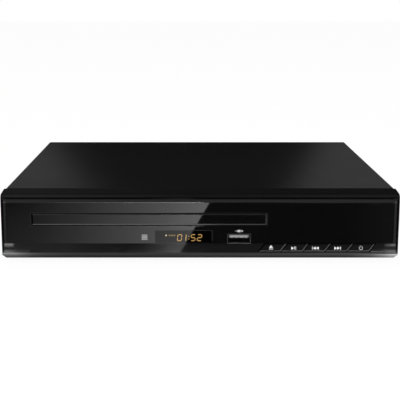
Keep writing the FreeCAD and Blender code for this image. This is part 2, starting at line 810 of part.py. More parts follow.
def make_tray():
    door = Piece("tray_door")
    door.pad("XZ", [rect(door_left, door_right, high(s.door_bottom), high(s.door_bottom + s.door_height))],
             deep(0), deep(s.door_thickness))
    door.bevel(s.door_bevel_depth, s.door_bevel, edge_at(y=deep(0)))

    tray = Piece("disc_tray")
    front = deep(s.door_thickness)
    tray.pad("XY", [rect(tray_x - tray_half, tray_x + tray_half, front, tray_end)], tray_bottom, tray_top)
    tray.pocket("XY", [circle(tray_x, disc_y, s.disc_recess / 2)], recess_z, tray_top + 1)
    tray.pocket("XY", [circle(tray_x, disc_y, s.small_recess / 2)], recess_z - s.small_step, recess_z + 0.5)
    hollow = tray_half - s.tray_rail
    tray.pocket("XY", [rect(tray_x - hollow, tray_x + hollow, front + 3, tray_end + 1)], tray_bottom - 1, tray_under)
    half_slot = s.slot_width / 2
    through = (tray_bottom - 1, tray_top + 1)
    tray.pocket("XY", [circle(tray_x, disc_y, half_slot)], *through)
    tray.pocket("XY", [rect(tray_x - half_slot, tray_x + half_slot, disc_y, tray_end - s.rear_rib)], *through)
    tray.pocket("XY", [rect(tray_x - half_slot, tray_x + half_slot, tray_end - s.rear_rib - 1, tray_end + 1)],
                tray_under - 1, recess_z)
    notch_y = disc_y - s.disc_recess / 2
    tray.pocket("XY", [circle(tray_x, notch_y + 6, 9)], *through)
    tray.pocket("XY", [rect(tray_x - hollow + 8, tray_x - half_slot - 6, tray_end - 22, tray_end - 12),
                       rect(tray_x + half_slot + 6, tray_x + hollow - 8, tray_end - 22, tray_end - 12)], *through)
    tray.chamfer(0.8, lambda e: isinstance(e.Curve, Part.Circle) and near(e.Curve.Radius, s.disc_recess / 2)
                 and all(near(v.Z, tray_top) for v in e.Vertexes))
    make_rack(tray)


def make_rack(tray):
    """Teeth along the inside of the left rail; a gap faces the drive gear's middle."""
    thin = s.gear_play * 0.5
    tip = rack_root + 2.25 * s.gear_module - 0.15
    half_root = rack_pitch / 4 + 1.25 * s.gear_module * 0.364 - thin
    half_tip = rack_pitch / 4 - 0.85 * s.gear_module * 0.364 - thin
    middle = gear_y - rack_pitch * 2.5
    tooth = tray.pad("XY", [[(rack_root - 0.2, middle - half_root), (rack_root, middle - half_root),
                             (tip, middle - half_tip), (tip, middle + half_tip),
                             (rack_root, middle + half_root), (rack_root - 0.2, middle + half_root)]],
                     tray_bottom, tray_under + 0.2)
    count = int(((tray_end - gear_y) / rack_pitch).value) + 2
    tray.repeat(tooth, "Y", rack_pitch, count)


# Gears
PRESSURE_ANGLE = math.radians(20)


def involute(angle):
    return math.tan(angle) - angle


def gear_face(x, y, teeth, module, phase):
    """The outline of a spur gear, with a tooth that points at the phase angle."""
    pitch_radius = module * teeth / 2
    base_radius = pitch_radius * math.cos(PRESSURE_ANGLE)
    root, tip = pitch_radius - 1.25 * module, pitch_radius + module
    radii = [root, max(base_radius, root + 0.05), pitch_radius + 0.2 * module, tip]
    half_tooth = math.pi / (2 * teeth) + involute(PRESSURE_ANGLE)
    points = []
    for tooth in range(int(teeth)):
        middle = phase + 2 * math.pi * tooth / teeth
        flank = [(r, half_tooth - involute(math.acos(min(1, base_radius / r)))) for r in radii]
        sides = [(r, -a) for r, a in flank] + [(r, a) for r, a in reversed(flank)]
        points += [Vector(x + r * math.cos(middle + a), y + r * math.sin(middle + a), 0) for r, a in sides]
    return Part.Face(Part.makePolygon(points + points[:1]))


def gear_solid(x, y, teeth, module, phase, low, high_z):
    face = gear_face(x, y, teeth, module, phase)
    face.translate(Vector(0, 0, low))
    return face.extrude(Vector(0, 0, high_z - low))


def disc_solid(x, y, radius, low, high_z):
    return Part.makeCylinder(radius, high_z - low, Vector(x, y, low))


gear_top = tray_under - 0.4
gear_low = gear_top - s.gear_face - 1.8
pulley_low = deck_top + s.slide_gap
pulley_high = gear_low - 0.4


def grooved_pulley(x, y, radius, low, high_z, belt):
    """A flanged wheel with a round-bottomed groove for the belt."""
    middle = (low + high_z) / 2
    wheel = disc_solid(x, y, radius + belt * 0.6, low, high_z)
    groove = disc_solid(x, y, radius + belt, middle - belt * 0.75, middle + belt * 0.75)
    return wheel.cut(groove.cut(disc_solid(x, y, radius, low, high_z)))


def make_drive():
    module, y = s.gear_module.value, gear_y.value
    bore = s.post_radius.value + s.running_gap.value
    low, top = gear_low.value, gear_top.value
    x = drive_x.value
    drive = gear_solid(x, y, s.drive_teeth.value, module, math.pi, low, top)
    drive = drive.fuse(disc_solid(x, y, bore + 1.2, pulley_low.value, low))
    piece("drive_gear", shaped("drive_gear", drive.cut(disc_solid(x, y, bore, 0, 60)).removeSplitter()))

    x, teeth = pulley_x.value, s.pulley_teeth.value
    small = gear_solid(x, y, teeth, module, math.pi + math.pi / teeth, pulley_high.value, low + s.gear_face.value)
    belt = s.belt_size.value
    wheel = grooved_pulley(x, y, s.pulley_radius.value, pulley_low.value, pulley_high.value, belt)
    wheel = wheel.fuse(small).cut(disc_solid(x, y, bore, 0, 60))
    piece("pulley_gear", shaped("pulley_gear", wheel.removeSplitter()))

    x = motor_x.value
    pinion = grooved_pulley(x, y, s.motor_pulley_radius.value, pulley_low.value, pulley_high.value, belt)
    piece("motor_pulley", shaped("motor_pulley", pinion.cut(disc_solid(x, y, 1.1, 0, 60)).removeSplitter()))
    make_belt(belt)

    can = rod("loading_can", "Z", motor_x, gear_y, deck_bottom - s.motor_length, s.motor_radius, s.motor_length)
    shaft = rod("loading_shaft", "Z", motor_x, gear_y, deck_bottom - 0.5, 1, pulley_high - deck_bottom)
    piece("loading_motor", fuse("loading_fuse", can, shaft))


def make_belt(belt):
    """A closed loop round the two pulleys, held just clear of their grooves."""
    play, y = 0.25, gear_y.value
    radii = [s.pulley_radius.value + play, s.motor_pulley_radius.value + play]
    centres = [pulley_x.value, motor_x.value]
    middle = (pulley_low.value + pulley_high.value) / 2
    outer = belt_solid(centres, y, [r + belt - play for r in radii], belt)
    inner = belt_solid(centres, y, radii, belt)
    loop = outer.cut(inner)
    loop.translate(Vector(0, 0, middle - belt / 2))
    piece("loading_belt", shaped("loading_belt", loop))


def belt_solid(centres, y, radii, width):
    """A prism over two arcs joined by the outer tangents of the two circles."""
    lean = math.acos((radii[0] - radii[1]) / (centres[1] - centres[0]))

    def at(which, angle):
        return Vector(centres[which] + radii[which] * math.cos(angle), y + radii[which] * math.sin(angle), 0)

    big = Part.Arc(at(0, lean), at(0, math.pi), at(0, -lean)).toShape()
    small = Part.Arc(at(1, -lean), at(1, 0), at(1, lean)).toShape()
    lines = [Part.makeLine(at(0, -lean), at(1, -lean)), Part.makeLine(at(1, lean), at(0, lean))]
    return Part.Face(Part.Wire([big, lines[0], small, lines[1]])).extrude(Vector(0, 0, width))


# Loader frame, clamp bridge and clamper
base_left, base_right = tray_x - s.plate_left - 6, tray_x + s.plate_right + 6
cam_front = disc_y - s.plate_front - 6.5
cam_back = cam_front + s.cam_thickness
base_front = cam_front - 4.5
cam_pins = [tray_x - 8, tray_x + 18]


def make_loader_frame():
    frame = Piece("loader_frame")
    front, rear = deep(s.frame_front), frame_rear
    walls = [rect(tray_x - wall_out, tray_x - wall_in, front, rear), rect(tray_x + wall_in, tray_x + wall_out, front, rear)]
    frame.pad("XY", [rect(tray_x - wall_out, tray_x + wall_out, base_front - 2, rear)], frame_bottom, base_top)
    frame.pad("XY", walls, frame_bottom, wall_top)
    frame.pocket("XY", [rect(base_left, base_right, disc_y - s.plate_front - 1, pivot_y + 6)],
                 frame_bottom - 1, base_top + 1)
    frame.pocket("XY", [rect(cam_pins[0] - 12, cam_pins[1] + 24, base_front + 2, disc_y - s.plate_front)],
                 frame_bottom - 1, base_top + 1)
    frame.pad("XY", [rect(tray_x - wall_in - 0.5, tray_x + wall_in + 0.5, front + 1.5, base_front + 0.5)],
              deck_bottom, deck_top)
    frame.pad("XY", [rect(tray_x - wall_in - 0.5, tray_x + wall_in + 0.5, base_front - 1.5, base_front + 0.5)],
              base_top - 0.5, deck_top)
    ledge = wall_in - s.tray_rail + 0.3
    frame.pad("XY", [rect(tray_x - wall_in - 0.5, tray_x - ledge, front, rear),
                     rect(tray_x + ledge, tray_x + wall_in + 0.5, front, rear)],
              tray_bottom - s.slide_gap - 2, tray_bottom - s.slide_gap)
    tab = wall_in - 3
    tab_low = tray_top + s.slide_gap
    for y in (front + 2, disc_y + 22, rear - 22):
        frame.pad("XY", [rect(tray_x - wall_in - 0.5, tray_x - tab, y, y + 14),
                         rect(tray_x + tab, tray_x + wall_in + 0.5, y, y + 14)], tab_low, tab_low + 1.4)
    frame.pad("XY", [rect(tray_x - wall_in - 0.5, tray_x + wall_in + 0.5, rear - s.frame_side, rear)],
              base_top - 0.5, tray_bottom - s.slide_gap)
    saddle = pivot_z + 3
    frame.pad("XY", [rect(base_left - 6, base_left - 0.3, pivot_y - 4, pivot_y + 4),
                     rect(base_right + 0.3, base_right + 6, pivot_y - 4, pivot_y + 4)], base_top - 0.5, saddle)
    frame.pocket("YZ", [circle(pivot_y, pivot_z, s.pin_radius + s.running_gap)], base_left - 5, base_right + 5)
    frame.pad("XY", [circle(drive_x, gear_y, s.post_radius), circle(pulley_x, gear_y, s.post_radius)],
              deck_top - 0.5, gear_top - 0.4)
    frame.pocket("XY", [circle(motor_x, gear_y, 2)], deck_bottom - 1, deck_top + 1)
    ear = s.ear_width
    for x, y in loader_ears:
        inner = as_size(0.5 if x.value < tray_x.value else -0.5)
        side = x + (ear / 2 + inner if x.value < tray_x.value else -ear / 2 + inner)
        ends = (x - ear / 2, side) if x.value < tray_x.value else (side, x + ear / 2)
        frame.pad("XY", [rect(*ends, y - 5, y + 5)], frame_bottom, base_top)


def make_clamp():
    bridge = Piece("clamp_bridge")
    half = s.bridge_width / 2
    top = wall_top + s.bridge_sheet
    bridge.pad("XY", [rect(tray_x - wall_out, tray_x + wall_out, disc_y - half, disc_y + half)], wall_top, top)
    bridge.pocket("XY", [circle(tray_x, disc_y, s.clamper_hub + 1)], wall_top - 1, top + 1)
    bridge.pad("XY", [rect(tray_x - wall_out, tray_x + wall_out, disc_y - half, disc_y - half + s.bridge_sheet),
                      rect(tray_x - wall_out, tray_x + wall_out, disc_y + half - s.bridge_sheet, disc_y + half)],
               wall_top, top + 2.2)
    seat = top + s.slide_gap
    hub = rod("clamper_hub_solid", "Z", tray_x, disc_y, clamper_bottom, s.clamper_hub, seat - clamper_bottom + 0.5)
    flange = rod("clamper_flange_solid", "Z", tray_x, disc_y, seat, s.clamper_flange, 1.8)
    well = rod("clamper_well", "Z", tray_x, disc_y, clamper_bottom - 1, s.cone_radius + 0.8, 2.6)
    piece("clamper", cut("clamper_cut", fuse("clamper_fuse", hub, flange), well))


# Traverse: made level, as it lies when the disc is clamped, and then lowered about its rear pivot
def make_cam_slider():
    slider = Piece("cam_slider")
    pin_up = pivot_z
    reach = pivot_y - disc_y + s.plate_front + 5.2
    drop = reach * math.sin(math.radians(s.traverse_tilt.value))
    pin_down = pivot_z - drop
    slot = s.pin_radius + 0.5
    low, top = pin_down - slot - 1.2, pin_up + slot + 1.2
    rest = base_top + s.slide_gap
    lobe = s.cam_travel * (rest - pin_down) / drop + 8.6
    outline = [(-44, rest)]
    for x in cam_pins:
        lobe_left, lobe_right = x - tray_x - lobe, x - tray_x + 4
        outline += [(lobe_left, rest), (lobe_left, low), (lobe_right, low), (lobe_right, rest)]
    outline += [(45, rest), (45, pin_up), (34, pin_up), (34, top), (-44, top)]
    slider.pad("XZ", [[(tray_x + x, z) for x, z in outline]], cam_front, cam_back)
    slope = 0.25
    for x in cam_pins:
        lower, upper = x + slope, x - s.cam_travel - slope
        slider.pocket("XZ", [[(lower + slot, pin_down - slot), (lower + slot, pin_down + slot * 1.3),
                              (upper + slot, pin_up + slot), (upper - slot, pin_up + slot),
                              (upper - slot, pin_up - slot * 1.3), (lower - slot, pin_down - slot)]],
                      cam_front - 1, cam_back + 1)


rod_z = plate_top + s.rod_radius
rod_front, rod_rear = disc_y + 8, pivot_y - s.rod_inset
pickup_y = disc_y + s.pickup_inner
pickup_travel = rod_rear - 6 - s.pickup_length / 2 - pickup_y
feed_y = pickup_y + pickup_travel / 2
feed_rack_line = tray_x + s.rod_spacing + 6
feed_x = feed_rack_line + s.feed_module * s.feed_small_teeth / 2 + s.gear_play
pinion_y = feed_y + s.feed_module * (s.feed_big_teeth + s.feed_pinion_teeth) / 2 + s.gear_play
feed_low = plate_top + s.slide_gap
feed_mid = feed_low + s.feed_face
feed_high = feed_mid + 0.3
feed_top = feed_high + s.feed_face


def make_traverse_frame():
    frame = Piece("traverse_frame")
    left, right = tray_x - s.plate_left, tray_x + s.plate_right
    front = disc_y - s.plate_front
    frame.pad("XY", [rect(left, right, front, pivot_y + 3)], plate_bottom, plate_top)
    frame.pocket("XY", [rect(tray_x - s.rod_spacing - 4, tray_x + s.rod_spacing + 2.6,
                             rod_front + 4, rod_rear - 4)], plate_bottom - 1, plate_top + 1)
    holder = 2.6
    ends = [(rod_front, rod_front + 4), (rod_rear - 4, rod_rear)]
    frame.pad("XY", [rect(tray_x + side * s.rod_spacing - holder, tray_x + side * s.rod_spacing + holder, *span)
                     for side in (-1, 1) for span in ends], plate_top - 0.5, rod_z + s.rod_radius + 0.2)
    frame.pocket("XZ", [circle(tray_x + side * s.rod_spacing, rod_z, s.rod_radius) for side in (-1, 1)],
                 rod_front - 1, rod_rear + 1)
    frame.pad("YZ", [circle(pivot_y, pivot_z, s.pin_radius)], base_left - 5, left + 0.5)
    frame.pad("YZ", [circle(pivot_y, pivot_z, s.pin_radius)], right - 0.5, base_right + 5)
    frame.pad("XZ", [circle(x, pivot_z, s.pin_radius) for x in cam_pins], cam_front - 0.6, front + 0.5)
    frame.pad("XY", [circle(feed_x, feed_y, 1)], plate_top - 0.5, feed_top + 0.2)
    frame.pocket("XY", [circle(feed_x, pinion_y, 2.4)], plate_bottom - 1, plate_top + 1)


def make_spindle_and_rods():
    rods = [rod(f"rod_{side}", "Y", tray_x + side * s.rod_spacing, rod_front, rod_z, s.rod_radius,
                rod_rear - rod_front) for side in (-1, 1)]
    piece("guide_rods", group("rod_group", *rods))
    motor_top = clamp_z - 2.4
    can = rod("spindle_can", "Z", tray_x, disc_y, plate_top, s.spindle_radius, motor_top - plate_top - 0.6)
    shaft = rod("spindle_shaft", "Z", tray_x, disc_y, plate_top + 1, 1.2, clamp_z - plate_top - 1.2)
    piece("spindle_motor", fuse("spindle_fuse", can, shaft))
    table = rod("table_disc", "Z", tray_x, disc_y, motor_top, s.turntable_radius, clamp_z - motor_top)
    centre = cone("table_cone", tray_x, disc_y, clamp_z, s.cone_radius, s.cone_radius - 3, 1.9)
    bore = rod("table_bore", "Z", tray_x, disc_y, motor_top - 1, 1.2 + s.running_gap, clamp_z - motor_top + 1)
    piece("turntable", cut("table_cut", fuse("table_fuse", table, centre), bore))


def make_pickup():
    pickup = Piece("pickup_sled")
    half = s.pickup_width / 2
    front, rear = pickup_y - s.pickup_length / 2, pickup_y + s.pickup_length / 2
    low, top = plate_top - 3, rod_z + s.rod_radius + 1.2
    pickup.pad("XZ", [rect(tray_x - half, tray_x + half, low, top)], front, rear)
    arm = s.rod_spacing + 2.8
    jaw = rod_z + 2.6
    pickup.pad("XZ", [rect(tray_x - arm, tray_x - half + 0.5, rod_z - 2.6, jaw)], front, rear)
    pickup.pad("XZ", [rect(tray_x + half - 0.5, tray_x + s.rod_spacing + 2.2, rod_z - 2.6, jaw)],
               pickup_y - 4, pickup_y + 4)
    clear = s.rod_radius + s.running_gap
    pickup.pocket("XZ", [circle(tray_x - s.rod_spacing, rod_z, clear)], front - 1, rear + 1)
    pickup.pocket("XZ", [rect(tray_x + s.rod_spacing - clear - 0.6, tray_x + s.rod_spacing + 3, rod_z - clear,
                              rod_z + clear)], front - 1, rear + 1)
    make_feed_rack(pickup, jaw)
    dome = rod("pickup_dome", "Z", tray_x, pickup_y, top, 6, 1.4)
    lens = rod("objective", "Z", tray_x, pickup_y, top + 1, 2.2, 1)
    piece("lens_actuator", fuse("actuator_fuse", dome, lens))


def make_feed_rack(pickup, jaw):
    """A strip beside the right-hand rod, with teeth towards the feed gear."""
    module = s.feed_module
    pitch = math.pi * module
    root = feed_rack_line - 1.25 * module
    reach = pickup_travel / 2 + 2 * pitch
    link = rect(tray_x + s.rod_spacing + s.rod_radius + 0.2, root, pickup_y - 4, pickup_y + 4)
    pickup.pad("XY", [link], feed_high + 0.1, jaw)
    pickup.pad("XY", [rect(root - 1.6, root, pickup_y - reach, pickup_y + reach)], feed_high + 0.1, feed_top - 0.1)
    thin = s.gear_play * 0.5
    half_root = pitch / 4 + 1.25 * module * 0.364 - thin
    half_tip = pitch / 4 - 0.85 * module * 0.364 - thin
    tip = root + 2.1 * module
    count = 2 * int(reach.value / pitch.value)
    middle = pickup_y + pickup_travel / 2 + pitch * (0.5 - count / 2)
    first = middle - pickup_travel / 2
    tooth = pickup.pad("XY", [[(root - 0.2, first - half_root), (root, first - half_root), (tip, first - half_tip),
                               (tip, first + half_tip), (root, first + half_root), (root - 0.2, first + half_root)]],
                       feed_high + 0.1, feed_top - 0.1)
    pickup.repeat(tooth, "Y", pitch, count)


def make_feed_drive():
    module = s.feed_module.value
    x, y = feed_x.value, feed_y.value
    low, mid, top = feed_low.value, feed_mid.value, feed_top.value
    shift = (feed_y.value - pickup_y.value) % (math.pi * module)
    rack_phase = math.pi - shift / (module * s.feed_small_teeth.value / 2)
    small = gear_solid(x, y, s.feed_small_teeth.value, module, rack_phase, mid, top)
    big = gear_solid(x, y, s.feed_big_teeth.value, module, math.pi / 2, low, mid)
    gear = small.fuse(big).cut(disc_solid(x, y, 1 + s.running_gap.value, 0, 60))
    piece("feed_gear", shaped("feed_gear", gear.removeSplitter()))
    teeth = s.feed_pinion_teeth.value
    pinion = gear_solid(x, pinion_y.value, teeth, module, -math.pi / 2 + math.pi / teeth, low, mid)
    pinion = pinion.cut(disc_solid(x, pinion_y.value, 0.8, 0, 60))
    piece("sled_pinion", shaped("sled_pinion", pinion.removeSplitter()))
    can = rod("sled_can", "Z", feed_x, pinion_y, plate_bottom - 7, 7.5, 7)
    shaft = rod("sled_shaft", "Z", feed_x, pinion_y, plate_bottom - 1, 0.7, feed_mid - plate_bottom + 1)
    piece("sled_motor", fuse("sled_fuse", can, shaft))


TILTING = ["traverse_frame", "guide_rods", "spindle_motor", "turntable", "pickup_sled", "lens_actuator",
           "feed_gear", "sled_pinion", "sled_motor"]


def lower_traverse():
    """Turns the traverse down about its rear pivot, clear of the moving tray."""
    pivot = Vector(0, pivot_y.value, pivot_z.value)
    turn = Placement(Vector(), Rotation(Vector(1, 0, 0), s.traverse_tilt.value), pivot)
    for label in TILTING:
        PIECES[label].Placement = turn.multiply(PIECES[label].Placement)


# Boards and rear sockets
def make_main_board():
    board = Piece("main_board")
    m, top = main_board, board_top
    board.pad("XY", [rect(m.left, m.right, m.front, m.rear)], board_z, top)
    chips = [block("decoder", m.left + 6, m.left + 20, m.front + 3, m.front + 17, top, top + 1.6),
             block("memory", m.left + 24, m.left + 34, m.front + 4, m.front + 14, top, top + 1.2)]
    piece("main_chips", group("chip_group", *chips))
    cans = [rod(f"main_can_{i}", "Z", m.left + 41, m.front + 3.5 + 6.5 * i, top, 3, 9) for i in range(3)]
    piece("main_capacitors", group("main_can_group", *cans))


def make_sockets():
    housing = Piece("av_jack_housing")
    left, right = jack_places[0] - s.jack_pitch / 2, jack_places[3] + s.jack_pitch / 2
    housing.pad("XZ", [rect(left, right, board_top, jack_z + 7)], panel_in - 12, panel_in)

    sleeves = []
    reach = rear_y + s.jack_reach
    collar_end = panel_out + 2
    for number, (label, x) in enumerate(zip(JACKS, jack_places)):
        collar = rod(f"{label}_collar", "Y", x, panel_out, jack_z, s.jack_collar, collar_end - panel_out)
        bore = rod(f"{label}_bore", "Y", x, panel_out - 1, jack_z, s.jack_root, collar_end - panel_out + 2)
        piece(label, cut(f"{label}_cut", collar, bore))
        root = rod(f"root_{number}", "Y", x, panel_in, jack_z, s.jack_root, collar_end - panel_in)
        tube = rod(f"tube_{number}", "Y", x, collar_end, jack_z, s.jack_radius, reach - collar_end)
        hole = rod(f"tube_hole_{number}", "Y", x, panel_in + 1, jack_z, 1.7, reach - panel_in)
        sleeves.append(cut(f"sleeve_{number}", fuse(f"sleeve_fuse_{number}", root, tube), hole))
    piece("jack_sleeves", group("sleeve_group", *sleeves))

    shell = Piece("hdmi_shell")
    half, low, tall = s.hdmi_width / 2, board_top, s.hdmi_height
    mouth = panel_out + 0.6
    back = mouth - s.hdmi_depth
    shell.pad("XZ", [d_outline(half, low, low + tall, 0)], back, mouth)
    shell.pocket("XZ", [d_outline(half, low, low + tall, s.usb_wall)], back + 1.5, mouth + 1)
    tongue = Piece("hdmi_tongue")
    tongue.pad("XZ", [rect(hdmi_x - half + 2, hdmi_x + half - 2, low + tall / 2 - 0.2, low + tall / 2 + 0.8)],
               back + 1.5, mouth - 1.5)
    make_inlet()


def d_outline(half, low, top, wall):
    """The socket's mouth: square above, drawn in below."""
    return [(hdmi_x - half + 2.4 + wall * 0.4, low + wall), (hdmi_x + half - 2.4 - wall * 0.4, low + wall),
            (hdmi_x + half - wall, low + 2.2 + wall * 0.4), (hdmi_x + half - wall, top - wall),
            (hdmi_x - half + wall, top - wall), (hdmi_x - half + wall, low + 2.2 + wall * 0.4)]


JACKS = ["video_jack", "left_audio_jack", "right_audio_jack", "digital_jack"]


def make_inlet():
    inlet = Piece("mains_inlet")
    middle = inlet_low + s.inlet_height / 2
    inlet.pad("XZ", [rect(inlet_left, inlet_right, inlet_low, inlet_low + s.inlet_height)],
              panel_in - s.inlet_depth, panel_in)
    inlet.pad("XZ", [rect(inlet_left + 1.7, inlet_right - 1.7, inlet_low + 1.7, inlet_low + s.inlet_height - 1.7)],
              panel_in - 0.5, panel_out + 1.2)
    bottom = panel_in - s.inlet_depth + 4
    mouth = panel_out + 2
    spread = 4.3
    inlet.pocket("XZ", [circle(inlet_centre - spread, middle, 4.2)], bottom, mouth)
    inlet.pocket("XZ", [circle(inlet_centre + spread, middle, 4.2)], bottom, mouth)
    inlet.pocket("XZ", [rect(inlet_centre - spread, inlet_centre + spread, middle - 2.9, middle + 2.9)],
                 bottom, mouth)
    pins = [rod(f"mains_pin_{side}", "Y", inlet_centre + side * spread, bottom, middle, 1.2, 10)
            for side in (-1, 1)]
    piece("mains_pins", group("mains_pin_group", *pins))


def make_power_supply():
    board = Piece("psu_board")
    top = board_top
    board.pad("XY", [rect(psu.left, psu.right, psu.front, psu.rear)], board_z, top)
    middle = psu.front + 46
    core = block("core", across(0.15), across(0.53), middle, middle + 20, top + 2, top + 18)
    bobbin = block("bobbin", across(0.13), across(0.55), middle + 4, middle + 16, top, top + 20)
    piece("transformer", fuse("transformer_fuse", core, bobbin))
    cans = [rod("bulk_can", "Z", across(0.5), middle + 29, top, s.bulk_can_radius, 18),
            rod("output_can_0", "Z", across(0.25), psu.front + 16, top, s.small_can_radius, 14),
            rod("output_can_1", "Z", across(0.75), psu.front + 16, top, s.small_can_radius, 14)]
    piece("psu_capacitors", group("psu_can_group", *cans))
    sink = Piece("psu_heatsink")
    sink.pad("XY", [rect(across(0.2), across(0.6), psu.front + 24, psu.front + 26.2)], top, top + 18)
    fin = sink.pad("XY", [rect(across(0.2), across(0.225), psu.front + 26, psu.front + 36)], top, top + 18)
    sink.repeat(fin, "X", psu_width * 0.075, 6)


def strip(label, left, right, path, thickness):
    """A flat cable: its path runs in the plane of Y and Z, its width lies along X."""
    ribbon = Piece(label)
    below = [(y, z - thickness) for y, z in reversed(path)]
    ribbon.pad("YZ", [list(path) + below], left, right)


def make_ribbons():
    low = chassis_top + 0.6
    landing = board_top + 0.4
    m = main_board
    strip("front_ribbon", tray_x + 43, tray_x + 53,
          [(deep(board_back), high(5)), (deep(board_back + 8), high(5)), (deep(board_back + 13), low),
           (m.front - 3, low), (m.front - 0.5, landing), (m.front + 8, landing)], 0.4)
    strip("loader_ribbon", tray_x - 10, tray_x + 10,
          [(frame_rear, base_top + 6), (frame_rear + 2, base_top + 6), (m.front + 4, landing),
           (m.front + 8, landing)], 0.4)


make_bezel()
make_lens()
make_buttons()
make_front_board()
make_cover()
make_chassis()
make_rear_panel()
make_feet()
make_tray()
make_drive()
make_loader_frame()
make_clamp()
make_cam_slider()
make_traverse_frame()
make_spindle_and_rods()
make_pickup()
make_feed_drive()
make_main_board()
make_sockets()
make_power_supply()
make_ribbons()
lower_traverse()
doc.recompute()

for item in doc.Objects:
    if "Invalid" in item.State or "Error" in item.State:
        raise ValueError(f"{item.Label} failed: {item.State}")
for label, item in PIECES.items():
    shape = item.Shape
    if shape.isNull() or not shape.isValid() or not shape.Solids:
        raise ValueError(f"{label} has no valid solid")

os.makedirs("parts", exist_ok=True)
for label, item in PIECES.items():
    item.Shape.exportStep(f"parts/{label}.step")
print(len(PIECES), "sub-parts written")
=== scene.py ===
import json
import math

import bmesh
import bpy
from mathutils import Matrix, Vector
from mathutils.bvhtree import BVHTree


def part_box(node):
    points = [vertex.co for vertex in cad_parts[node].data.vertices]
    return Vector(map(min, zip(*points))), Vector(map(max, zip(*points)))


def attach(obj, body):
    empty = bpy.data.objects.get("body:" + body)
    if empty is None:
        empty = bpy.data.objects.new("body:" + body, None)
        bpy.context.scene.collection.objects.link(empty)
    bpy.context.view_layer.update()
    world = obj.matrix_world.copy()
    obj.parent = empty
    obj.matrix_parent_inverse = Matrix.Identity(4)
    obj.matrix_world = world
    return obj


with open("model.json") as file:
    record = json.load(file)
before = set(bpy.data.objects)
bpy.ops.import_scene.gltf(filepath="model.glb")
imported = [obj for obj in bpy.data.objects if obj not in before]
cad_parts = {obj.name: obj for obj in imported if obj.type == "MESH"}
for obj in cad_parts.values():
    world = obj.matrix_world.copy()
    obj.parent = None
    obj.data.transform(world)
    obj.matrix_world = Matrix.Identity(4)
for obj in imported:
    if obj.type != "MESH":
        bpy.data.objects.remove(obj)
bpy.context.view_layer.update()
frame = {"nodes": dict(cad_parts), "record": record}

MM = 0.001
scene = bpy.context.scene
scene.view_settings.view_transform = "Standard"


# Finishes: every material is made of nodes in object space, in metres.

# Places of the colour sockets on a Mix node, which has one set of sockets for each data type.
COLOUR_A = 6
COLOUR_B = 7
COLOUR_RESULT = 2
# Rays that find the neighbouring faces of a softened edge.
BEVEL_SAMPLES = 16
# Distance between the wave node's bands at a scale of 1.
WAVE_PERIOD = math.pi / 10.0
PLASTIC_IOR = 1.5
ACRYLIC_IOR = 1.49


